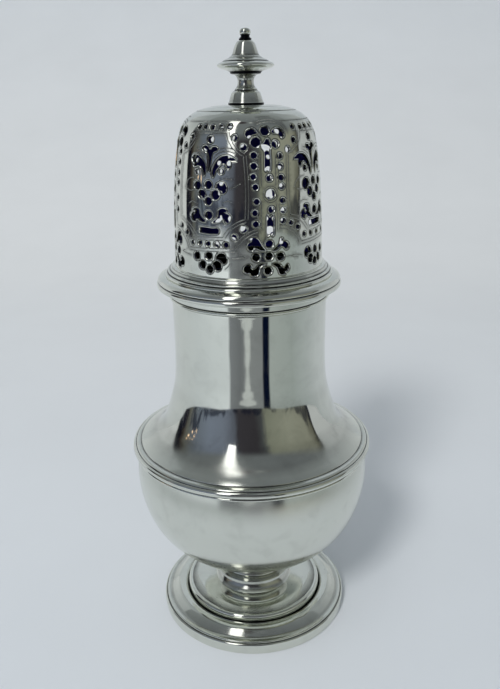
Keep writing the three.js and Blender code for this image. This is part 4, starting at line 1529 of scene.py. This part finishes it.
    def _joined(self, sheet: Sheet) -> Sheet:
        """Joins points that are one and the same round the back.

        Args:
            sheet: The triangulated sheet.

        Returns:
            The sheet, with only the points that its triangles use.
        """
        keys: dict[tuple[int, int], int] = {}
        number = -np.ones(len(sheet.flat), int)
        kept = []
        for i in np.unique(sheet.triangles):
            key = self._key(sheet.flat[i])
            if key not in keys:
                keys[key] = len(kept)
                kept.append(i)
            number[i] = keys[key]
        return Sheet(
            sheet.flat[kept], sheet.depth[kept], sheet.film[kept], sheet.edge[kept], number[sheet.triangles],
        )

    def build(self, finish: Material, inside: Material) -> bpy.types.Object:
        """Cuts, engraves and bends the dome.

        Args:
            finish: The polished outside's material.
            inside: The tarnished inside's material.

        Returns:
            The object, in metres.
        """
        holes = self.holes()
        outer = self._joined(self._triangulate(holes, self.grid, True))
        inner = self._joined(self._triangulate(holes, self.inner_grid, False))
        points = self.bent(outer.flat, outer.depth)
        inner_points = self.bent(inner.flat, np.full(len(inner.flat), self.sheet))
        smooth = self.normals(outer.flat)[outer.triangles]
        a, b, c = (points[outer.triangles[:, k]] for k in range(3))
        normals = np.cross(b - a, c - a)
        normals /= np.linalg.norm(normals, axis=1)[:, None] + 1e-12
        # A facet cut into the metal keeps its own direction, and the rest is shaded as one smooth dome.
        cut = (outer.depth[outer.triangles] > 0.01).any(axis=1)
        outer_normals = np.where(cut[:, None, None], normals[:, None, :], smooth)
        walls, wall_normals = self._walls(outer, inner, points, inner_points)
        inner_triangles = inner.triangles[:, ::-1]
        inner_normals = -self.normals(inner.flat)[inner_triangles.ravel()]

        piece = mesh_object(
            "cover_dome_pierced", (np.vstack([points, inner_points]) * MM).tolist(),
            outer.triangles.tolist() + (inner_triangles + len(points)).tolist() + walls,
            finish, inside, hollow=np.concatenate([outer.film, np.full(len(inner.flat), 0.8)]),
        )
        slots = np.zeros(len(piece.data.polygons), np.int32)
        slots[len(outer.triangles): len(outer.triangles) + len(inner_triangles)] = 1
        piece.data.polygons.foreach_set("material_index", slots)
        piece.data.normals_split_custom_set(
            np.vstack([outer_normals.reshape(-1, 3), inner_normals, wall_normals]).tolist()
        )
        self._crown(piece, finish)
        return piece

    def _walls(
        self, outer: Sheet, inner: Sheet, points: Array, inner_points: Array,
    ) -> tuple[list[tuple[int, ...]], Array]:
        """Closes the sheet's edges, in the holes and along the foot and the top.

        Args:
            outer: The outside face.
            inner: The inside face, whose points are numbered on from the outside's.
            points: The outside's points in space.
            inner_points: The inside's points in space.

        Returns:
            The walls' faces, and the direction at each of their corners.
        """
        partner = {self._key(inner.flat[i]): i for i in np.flatnonzero(inner.edge != Edge.NONE)}
        sides = dict.fromkeys((a, b) for t in outer.triangles.tolist() for a, b in zip(t, t[1:] + t[:1]))
        faces, normals = [], []
        for a, b in sides:
            if (b, a) in sides or Edge.NONE in (outer.edge[a], outer.edge[b]):
                continue
            c, d = partner.get(self._key(outer.flat[b])), partner.get(self._key(outer.flat[a]))
            if c is None or d is None:
                continue
            normal = np.cross(points[a] - points[b], inner_points[c] - points[b])
            faces.append((b, a, len(points) + d, len(points) + c))
            normals.extend([normal / (np.linalg.norm(normal) + 1e-12)] * 4)
        return faces, np.array(normals)

    def _crown(self, piece: bpy.types.Object, finish: Material) -> None:
        """Adds the plain crown, from its turned line up to the finial, to the dome's mesh.

        Args:
            piece: The pierced dome.
            finish: The polished outside's material.
        """
        (low_r, low_h), (top_r, top_h) = self.crown, self.top
        crown = Turning("crown", [
            (low_r, low_h - 0.12), (low_r - 0.25, low_h + 0.06), (13.4, 157.46), (13.22, 157.24),
            (13.0, 157.66),
            [(12.8, 157.76), (11.0, 158.25), (9.7, 158.5)],
            (9.58, 158.42), (9.45, 158.56),
            [(8.0, 158.78), (top_r, top_h)],
            (top_r, top_h - self.sheet),
            [(8.0, 157.88), (11.0, 157.35), (low_r - 0.05, low_h - self.sheet)],
        ], ease=0.04, stains=((157.2, 157.4, 0.8),)).build(finish, self.foot_points)
        with bpy.context.temp_override(active_object=piece, selected_editable_objects=[piece, crown]):
            bpy.ops.object.join()


# Studio


@dataclass
class Studio:
    """A sweep of pale paper, a soft key light at the front left, the dim room ahead, and the camera.

    Its lengths are in metres.
    """

    paper: str = "#E2E6EA"
    # Painted light: the paper's colour where it is painted lighter, low down at the back.
    painted_light_paper: str = "#FBFBFA"
    near_end: float = -3.0
    front_edge: float = -0.78
    wall: float = 1.25
    table_edge: float = 0.735
    half_width: float = 1.8
    bend: float = 0.9
    height: float = 1.6
    key_azimuth: float = -25.0
    key_elevation: float = 42.0
    key_distance: float = 1.5
    key_size: float = 0.34
    key_power: float = 10.0
    strip_low: Triple = (-0.64, -1.41, 0.56)
    strip_high: Triple = (-0.23, 0.0, 1.51)
    strip_width: float = 0.24
    strip_power: float = 2.6
    # The lights aim at this height, and the dim side of the room hangs round it.
    aim_height: float = 0.08
    room_radius: float = 1.9
    # Half the width of the sheet of painted shade, its back edge and its front edge.
    shade_sheet_edges: Triple = (0.78, 0.2, -0.78)
    lens: float = 37.53
    eye: Triple = (0.0, -0.2047, 0.1634)
    pitch: float = 0.3445
    roll: float = -0.016

    def build(self) -> None:
        """Sets the whole studio up."""
        self._sweep()
        self._lights()
        self._surround()
        self._room()
        self._painted_floor_shade()
        self._camera()

    def _place(self, azimuth: float, elevation: float, distance: float) -> Vector:
        """Gives the place that lies in a direction from the caster's lower half.

        Args:
            azimuth: Degrees round the axis.
            elevation: Degrees above the horizon.
            distance: How far off it is, in metres.

        Returns:
            The place.
        """
        turn, rise = math.radians(azimuth), math.radians(elevation)
        flat = distance * math.cos(rise)
        return Vector((
            flat * math.sin(turn), -flat * math.cos(turn), distance * math.sin(rise) + self.aim_height,
        ))

    def _paper_material(self) -> Material:
        """Builds matt seamless paper: no shine, a faint fibre, and painted lighter low down at the back.

        Returns:
            The material.
        """
        material, add = blank_material("seamless_paper_matt")
        place = add("TexCoord").outputs["Object"]
        fibre = add("TexNoise", {"Vector": place, "Scale": per_metre(90.0), "Detail": 3.0}).outputs["Fac"]
        axes = add("SeparateXYZ", {"Vector": place}).outputs
        # Painted light: the paper is painted lighter low down at the back, where less of the key's light
        # falls.
        back = add("MapRange", {"Value": axes["Y"], "From Min": -0.05, "From Max": 0.45}).outputs["Result"]
        high = add(
            "MapRange", {"Value": axes["Z"], "From Min": 0.04, "From Max": 0.5, "To Min": 0.9, "To Max": 0.0},
        ).outputs["Result"]
        share = add("Math", {0: back, 1: high}, operation="MULTIPLY").outputs[0]
        colour = add("Mix", {"Factor": share, 6: self.paper, 7: self.painted_light_paper}, data_type="RGBA").outputs[2]
        shade = add(
            "MapRange", {"Value": fibre, "From Min": 0.3, "From Max": 0.7, "To Min": 0.97},
        ).outputs["Result"]
        mixed = add("VectorMath", {0: colour, 1: shade}, operation="MULTIPLY").outputs["Vector"]
        shader = add("BsdfPrincipled", {"Base Color": mixed, "Roughness": 0.85, "Specular IOR Level": 0.15})
        add("OutputMaterial", {"Surface": shader.outputs["BSDF"]})
        return material

    def _sweep(self) -> None:
        """Lays the paper: table, bend, wall, and strips in front and at the sides that no reflection sees."""
        paper = self._paper_material()
        start = self.wall - self.bend
        bend = [
            (start + self.bend * math.sin(a), self.bend * (1 - math.cos(a)))
            for a in np.linspace(0, math.pi / 2, 24)
        ]
        # A row just before the bend keeps the table's shading flat up to there.
        whole = [(self.front_edge, 0.0), (start - 0.02, 0.0), *bend, (self.wall, self.height)]
        edge, side = self.table_edge, self.half_width
        for name, rows, left, right in (
            ("paper_sweep", whole, -edge, edge),
            ("paper_left_strip", whole, -side, -edge),
            ("paper_right_strip", whole, edge, side),
            ("paper_front_strip", [(self.near_end, 0.0), (self.front_edge, 0.0)], -side, side),
        ):
            vertices = [(x, y, z) for y, z in rows for x in (left, right)]
            faces = [(2 * i, 2 * i + 1, 2 * i + 3, 2 * i + 2) for i in range(len(rows) - 1)]
            sheet = mesh_object(name, vertices, faces, paper)
            sheet.visible_glossy = name == "paper_sweep"

    def _lights(self) -> None:
        """Hangs the key light, and a long dim strip above it that draws the streaks down the silver."""
        key = self._place(self.key_azimuth, self.key_elevation, self.key_distance)
        low, high = Vector(self.strip_low), Vector(self.strip_high)
        for name, shape, middle, along, size, power in (
            ("key_softbox", "ELLIPSE", key, Vector((0, 0, 1)), (self.key_size, self.key_size),
             self.key_power),
            ("strip_softbox", "RECTANGLE", (low + high) / 2, high - low,
             (self.strip_width, (high - low).length), self.strip_power),
        ):
            back = (middle - Vector((0, 0, self.aim_height))).normalized()
            side = along.cross(back).normalized()
            lamp = bpy.data.lights.new(name, "AREA")
            lamp.shape = shape
            lamp.size, lamp.size_y = size
            lamp.energy = power
            holder = bpy.data.objects.new(name, lamp)
            turned = Matrix((side, back.cross(side), back)).transposed().to_4x4()
            holder.matrix_world = Matrix.Translation(middle) @ turned
            holder.visible_glossy = name == "strip_softbox"
            bpy.context.scene.collection.objects.link(holder)

    def _surround(self) -> None:
        """Paints the pale walls and the greyer ceiling round about, as the world."""
        world = bpy.data.worlds.new("pale_surround")
        bpy.context.scene.world = world
        world.use_nodes = True
        world.node_tree.nodes.clear()
        add = partial(add_node, world.node_tree)
        direction = add("TexCoord").outputs["Generated"]
        axes = add("SeparateXYZ", {"Vector": direction}).outputs
        tones = ((0.0, "#DADEE2"), (0.3, "#D2D7DB"), (0.6, "#B3B9BD"), (0.85, "#969DA2"), (1.0, "#848B90"))
        tone = add("ValToRGB", {"Fac": axes["Z"]}, stops=tones).outputs["Color"]
        dimmer = add(
            "MapRange", {"Value": axes["X"], "From Min": 0.1, "From Max": 0.9, "To Min": 1.0, "To Max": 0.8},
        ).outputs["Result"]
        tone = add("VectorMath", {0: tone, 1: dimmer}, operation="MULTIPLY").outputs["Vector"]
        light = add("Background", {"Color": tone, "Strength": 0.95})
        add("OutputWorld", {"Surface": light.outputs["Background"]})

    @staticmethod
    def _only_reflected(staged: bpy.types.Object) -> None:
        """Keeps an object out of view and light, so that only the silver shows it.

        Args:
            staged: The object.
        """
        staged.visible_camera = False
        staged.visible_diffuse = False
        staged.visible_shadow = False

    def _room(self) -> None:
        """Hangs the room's dim side in front and overhead, as a curved screen that only reflections see."""
        rows, columns, lowest, span = 26, 72, -20, 109
        vertices, faces, across = [], [], []
        for i in range(rows + 1):
            elevation = lowest + span * i / rows
            flat, height = math.cos(math.radians(elevation)), math.sin(math.radians(elevation))
            # The screen's left and right edges lean inwards as it rises, and more so overhead.
            overhead = max(0.0, height - 0.8)
            left, right = (
                math.degrees(math.acos(max(-1.0, min(1.0, -limit / flat))))
                for limit in (0.3 + overhead, -0.05 + 0.45 * height + 2 * overhead)
            )
            for j in range(columns + 1):
                share = j / columns
                vertices.append(self._place(-left + (left + right) * share, elevation, self.room_radius))
                across.append(share)
        for i in range(rows):
            for j in range(columns):
                a = i * (columns + 1) + j
                faces.append((a, a + 1, a + columns + 2, a + columns + 1))
        self._only_reflected(
            mesh_object("dim_room_screen", vertices, faces, self._room_material(), across=across)
        )

    def _room_material(self) -> Material:
        """Builds the screen's glow, a painted reflection of the room: slate to olive, an unlit strip ahead, a
        grey ceiling.

        It glows by itself, so that the silver shows it at the same brightness from every side.

        Returns:
            The material.
        """
        material, add = blank_material("room_reflection_painted_glow")
        place = add("TexCoord").outputs["Object"]
        axes = add("SeparateXYZ", {"Vector": place}).outputs
        across = add("Attribute", attribute_name="across").outputs["Fac"]
        blots = add(
            "TexNoise",
            {"Vector": place, "Scale": per_metre(454.5), "Detail": 4.0, "Roughness": 0.65, "Distortion": 0.6},
        ).outputs["Fac"]
        sway = add(
            "MapRange", {"Value": blots, "From Min": 0.3, "From Max": 0.7, "To Min": -0.016, "To Max": 0.016},
        ).outputs["Result"]
        loose = add("Math", {0: across, 1: sway}, operation="ADD").outputs[0]
        tones = (
            (0.0, "#101119"), (0.035, "#14151F"), (0.055, "#3E3733"), (0.08, "#65655F"), (0.15, "#6C7480"),
            (0.26, "#7B8496"), (0.36, "#767E8F"), (0.425, "#5E6370"), (0.455, "#3C3A40"), (0.57, "#38363B"),
            (0.615, "#4A4D50"), (0.65, "#828579"), (0.8, "#94968A"), (0.93, "#8E8F83"), (0.975, "#66665C"),
            (1.0, "#1C1C1C"),
        )
        wall = add("ValToRGB", {"Fac": loose}, stops=tones).outputs["Color"]
        low = add(
            "MapRange",
            {"Value": axes["Z"], "From Min": 0.04, "From Max": 0.28, "To Min": 0.14, "To Max": -0.12},
        ).outputs["Result"]
        dark = add("Math", {0: blots, 1: low}, operation="ADD").outputs[0]
        furniture = add(
            "MapRange", {"Value": dark, "From Min": 0.61, "From Max": 0.67, "To Max": 0.75},
        ).outputs["Result"]
        behind = add("MapRange", {"Value": axes["Y"], "From Min": -0.2, "From Max": 0.9}).outputs["Result"]
        ceiling = add("Mix", {"Factor": behind, 6: "#71767A", 7: "#8C9294"}, data_type="RGBA").outputs[2]
        rising = add("MapRange", {"Value": axes["Z"], "From Min": 0.85, "From Max": 1.25}).outputs["Result"]
        layers = [(furniture, "#14182A"), (rising, ceiling)]
        # Lamplight at the far left, and three plainer marks on the ceiling: direction and size in degrees.
        lamplight = (2.2, 1.5, 0.95, 1.0)
        for azimuth, elevation, size, tone in (
            (-86, 5, 1.2, lamplight), (-81, 3, 0.9, lamplight), (-77, 6, 0.9, lamplight),
            (-88, 8, 1.0, lamplight), (-83, 8, 0.8, lamplight), (-75, 3, 0.8, lamplight),
            (-79, 9, 0.7, lamplight), (-21, 77, 6.0, "#3B3438"), (21, 76.7, 2.8, "#B9BDBC"),
            (43, 74.4, 2.2, "#5E574C"),
        ):
            spot = self._place(azimuth, elevation, self.room_radius)
            gap = add("VectorMath", {0: place, 1: spot}, operation="DISTANCE").outputs["Value"]
            reach = self.room_radius * math.radians(size)
            mark = add(
                "MapRange",
                {"Value": gap, "From Min": reach * 0.6, "From Max": reach, "To Min": 1.0, "To Max": 0.0},
            ).outputs["Result"]
            layers.append((mark, tone))
        lit = wall
        for share, over in layers:
            lit = add("Mix", {"Factor": share, 6: lit, 7: over}, data_type="RGBA").outputs[2]
        # Painted reflection: the screen glows with the room's lit and unlit tones, for the silver to show.
        glow = add("Emission", {"Color": lit, "Strength": 1.0})
        add("OutputMaterial", {"Surface": glow.outputs["Emission"]})
        return material

    def _painted_floor_shade(self) -> None:
        """Lays a glowing sheet of painted shade in front of the caster, which the neck and the foot reflect
        as bands.

        It has no shine, so each band is one flat tone in the silver, with a slightly ragged edge. One pale
        band is a painted reflection.
        """
        # Painted shade and a painted reflection on the table in front, seen only in the silver.
        material, add = blank_material("floor_painted_shade_glow")
        place = add("TexCoord").outputs["Object"]
        axes = add("SeparateXYZ", {"Vector": place}).outputs
        far = add("VectorMath", {0: place}, operation="LENGTH").outputs["Value"]
        ahead = add("Math", {0: axes["Y"], 1: -1.0}, operation="MULTIPLY").outputs[0]
        turn = add("Math", {0: axes["X"], 1: ahead}, operation="ARCTAN2").outputs[0]
        turn = add("Math", {0: turn, 1: 180 / math.pi}, operation="MULTIPLY").outputs[0]
        # The edges of the painted bands are frayed 3 mm apart.
        ragged = add(
            "TexNoise", {"Vector": place, "Scale": per_metre(3.0), "Detail": 3.0, "Roughness": 0.7},
        ).outputs["Fac"]
        swing = add(
            "MapRange", {"Value": ragged, "From Min": 0.3, "From Max": 0.7, "To Min": -3.0, "To Max": 3.0},
        ).outputs["Result"]
        loose = add("Math", {0: turn, 1: swing}, operation="ADD").outputs[0]

        # The bands of painted shade fan out from the caster: where each starts, in degrees, its colour and
        # its cover.
        painted_bands = (
            (-30.5, "#7D8187", 0.0), (-27.5, "#7D8187", 0.95), (-14, "#74787D", 1.0), (3, "#8A8E92", 1.0),
            (17, "#888C90", 1.0), (18.5, "#060F26", 1.0), (26, "#060F26", 1.0), (28, "#A2AAA9", 0.85),
            (62, "#98A1A0", 0.8), (112, "#98A1A0", 0.0),
        )
        start, end = -40, 120
        across = add("MapRange", {"Value": turn, "From Min": start, "From Max": end}).outputs["Result"]
        painted_band_ramp = add("ValToRGB", {"Fac": across}, stops=[
            ((azimuth - start) / (end - start), linear(colour)[:3] + (cover,))
            for azimuth, colour, cover in painted_bands
        ])

        # A painted pale reflection opens in steps away from the caster. Distances are in metres, half widths
        # in degrees.
        patch_turn, patch_start, patch_length, widest = -4.0, 0.25, 0.4, 20.0
        widths = ((0.252, 0.0), (0.262, 3.5), (0.285, 4.6), (0.302, 3.0), (0.315, 7.2), (0.35, 8.0),
                  (0.375, 5.0), (0.405, 11.0), (0.49, 12.0), (0.6, 0.0))
        spread = add(
            "MapRange", {"Value": far, "From Min": patch_start, "From Max": patch_start + patch_length},
        ).outputs["Result"]
        half = add("ValToRGB", {"Fac": spread}, stops=[
            ((distance - patch_start) / patch_length, (width / widest,) * 3 + (1.0,))
            for distance, width in widths
        ]).outputs["Color"]
        middle = add("Math", {0: loose, 1: patch_turn}, operation="SUBTRACT").outputs[0]
        middle = add("Math", {0: middle}, operation="ABSOLUTE").outputs[0]
        inside = add("Math", {0: half, 1: widest}, operation="MULTIPLY").outputs[0]
        inside = add("Math", {0: inside, 1: middle}, operation="SUBTRACT").outputs[0]
        painted_pale_reflection = add("MapRange", {"Value": inside, "From Min": -0.4, "From Max": 0.6}).outputs["Result"]
        colour = add(
            "Mix", {"Factor": painted_pale_reflection, 6: painted_band_ramp.outputs["Color"], 7: "#C4C9CB"}, data_type="RGBA",
        ).outputs[2]

        # Close to the foot the painted shade is broad and soft, and shows all round the front.
        near = add(
            "MapRange", {"Value": far, "From Min": 0.16, "From Max": 0.25, "To Min": 1.0, "To Max": 0.0},
        ).outputs["Result"]
        tones = ((-40, "#8E9495"), (-8, "#888D8E"), (-2, "#78787C"), (7, "#767579"), (11, "#989C9A"),
                 (17, "#858480"), (26, "#A09E92"), (48, "#9A998E"), (70, "#7A7970"), (120, "#8E9495"))
        shade_near_foot = add("ValToRGB", {"Fac": across}, stops=[
            ((azimuth - start) / (end - start), tone) for azimuth, tone in tones
        ]).outputs["Color"]
        colour = add("Mix", {"Factor": near, 6: colour, 7: shade_near_foot}, data_type="RGBA").outputs[2]
        begin = add(
            "MapRange", {"Value": far, "From Min": 0.08, "From Max": 0.22}, interpolation_type="SMOOTHSTEP",
        ).outputs["Result"]
        round_front = add(
            "MapRange", {"Value": ahead, "From Min": -0.15, "From Max": 0.05, "To Max": 0.75},
        ).outputs["Result"]
        plain = add("Math", {0: near, 1: round_front}, operation="MULTIPLY").outputs[0]
        cover = add("Math", {0: painted_band_ramp.outputs["Alpha"], 1: plain}, operation="MAXIMUM").outputs[0]
        cover = add("Math", {0: cover, 1: begin}, operation="MULTIPLY").outputs[0]
        # Painted shade: the sheet glows with these tones, and only the silver shows it.
        glow = add("Emission", {"Color": colour, "Strength": 1.0})
        clear = add("BsdfTransparent")
        both = add("MixShader", {0: cover, 1: clear.outputs["BSDF"], 2: glow.outputs["Emission"]})
        add("OutputMaterial", {"Surface": both.outputs["Shader"]})
        side, back, front = self.shade_sheet_edges
        lift = 0.0006
        corners = [(-side, back, lift), (side, back, lift), (side, front, lift), (-side, front, lift)]
        self._only_reflected(mesh_object("floor_painted_shade_sheet", corners, [(0, 1, 2, 3)], material))

    def _camera(self) -> None:
        """Stands the camera where the photograph was taken."""
        forward = Vector((0, math.cos(self.pitch), -math.sin(self.pitch)))
        right = Vector((1, 0, 0))
        up = right.cross(forward)
        tilted_right = right * math.cos(self.roll) + up * math.sin(self.roll)
        tilted_up = up * math.cos(self.roll) - right * math.sin(self.roll)
        data = bpy.data.cameras.new("camera")
        data.lens = self.lens
        data.sensor_width = 36.0
        data.clip_start = 0.01
        camera = bpy.data.objects.new("camera", data)
        turn = Matrix((tilted_right, tilted_up, -forward)).transposed()
        camera.matrix_world = Matrix.Translation(self.eye) @ turn.to_4x4()
        bpy.context.scene.collection.objects.link(camera)
        bpy.context.scene.camera = camera


# Putting together


def seat(piece: bpy.types.Object, node: str, body: str) -> None:
    """Puts a dressed piece in the place of its CAD node and reports it.

    Args:
        piece: The dressed piece.
        node: The CAD node that it stands for.
        body: The body that carries it.
    """
    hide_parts(node)
    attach(piece, body)
    LOG.info("%s stands for %s on %s: %d faces", piece.name, node, body, len(piece.data.polygons))


def main() -> None:
    """Builds the studio and the caster."""
    logging.basicConfig(level=logging.INFO, format="%(name)s: %(message)s")
    bpy.context.scene.view_settings.view_transform = "Standard"
    Studio().build()
    LOG.info("studio built")

    # Spun and cast silver is bright, with fine pits. Raised silver keeps the hammer's waves, and the bowl,
    # which hands hold, has the softest polish. The pierced dome can't be buffed: the holes keep their edges.
    spun = SterlingSilver("sterling_silver_spun_polished", pit_spacing=2.4, pit_radius=0.2).material()
    raised = SterlingSilver(
        "sterling_silver_raised_soft_polish", roughness=0.15, wave_length=17.0, wave_height=0.05,
        cloud_share=0.16,
    ).material()
    neck = SterlingSilver(
        "sterling_silver_raised_polished", roughness=0.022, wave_length=16.0, scuffed_below=67.5, scuff=0.09,
    ).material()
    cast = SterlingSilver(
        "sterling_silver_cast_polished", wave_length=8.0, wave_height=0.015, pit_spacing=1.9, pit_radius=0.16,
    ).material()
    pierced = SterlingSilver(
        "sterling_silver_pierced_engraved", roughness=0.05, wave_length=11.0, wave_height=0.03,
        buff_height=0.0,
    ).material()
    sulphide = TarnishedInside().material()

    foot, stem, body, cover = Foot(), Stem(), Body(), Cover()
    seat(foot.band().build(spun), "foot_rim", "body")
    seat(foot.spun().build(spun), "foot_dome", "body")
    seat(stem.spool().build(cast), "stem", "body")
    seat(body.bowl().build(raised), "bowl", "body")
    seat(body.girdle().build(cast), "girdle_moulding", "body")
    seat(body.upper().build(neck), "upper_body", "body")
    seat(body.collar().build(cast), "neck_collar", "body")
    seat(cover.rim().build(cast), "cover_rim", "cover")
    seat(cover.sleeve().build(spun), "cover_bezel", "cover")
    seat(cover.reeds().build(cast), "dome_moulding", "cover")
    seat(Dome().build(pierced, sulphide), "pierced_dome", "cover")
    seat(cover.finial().build(cast), "finial", "cover")


if __name__ == "__main__":
    main()
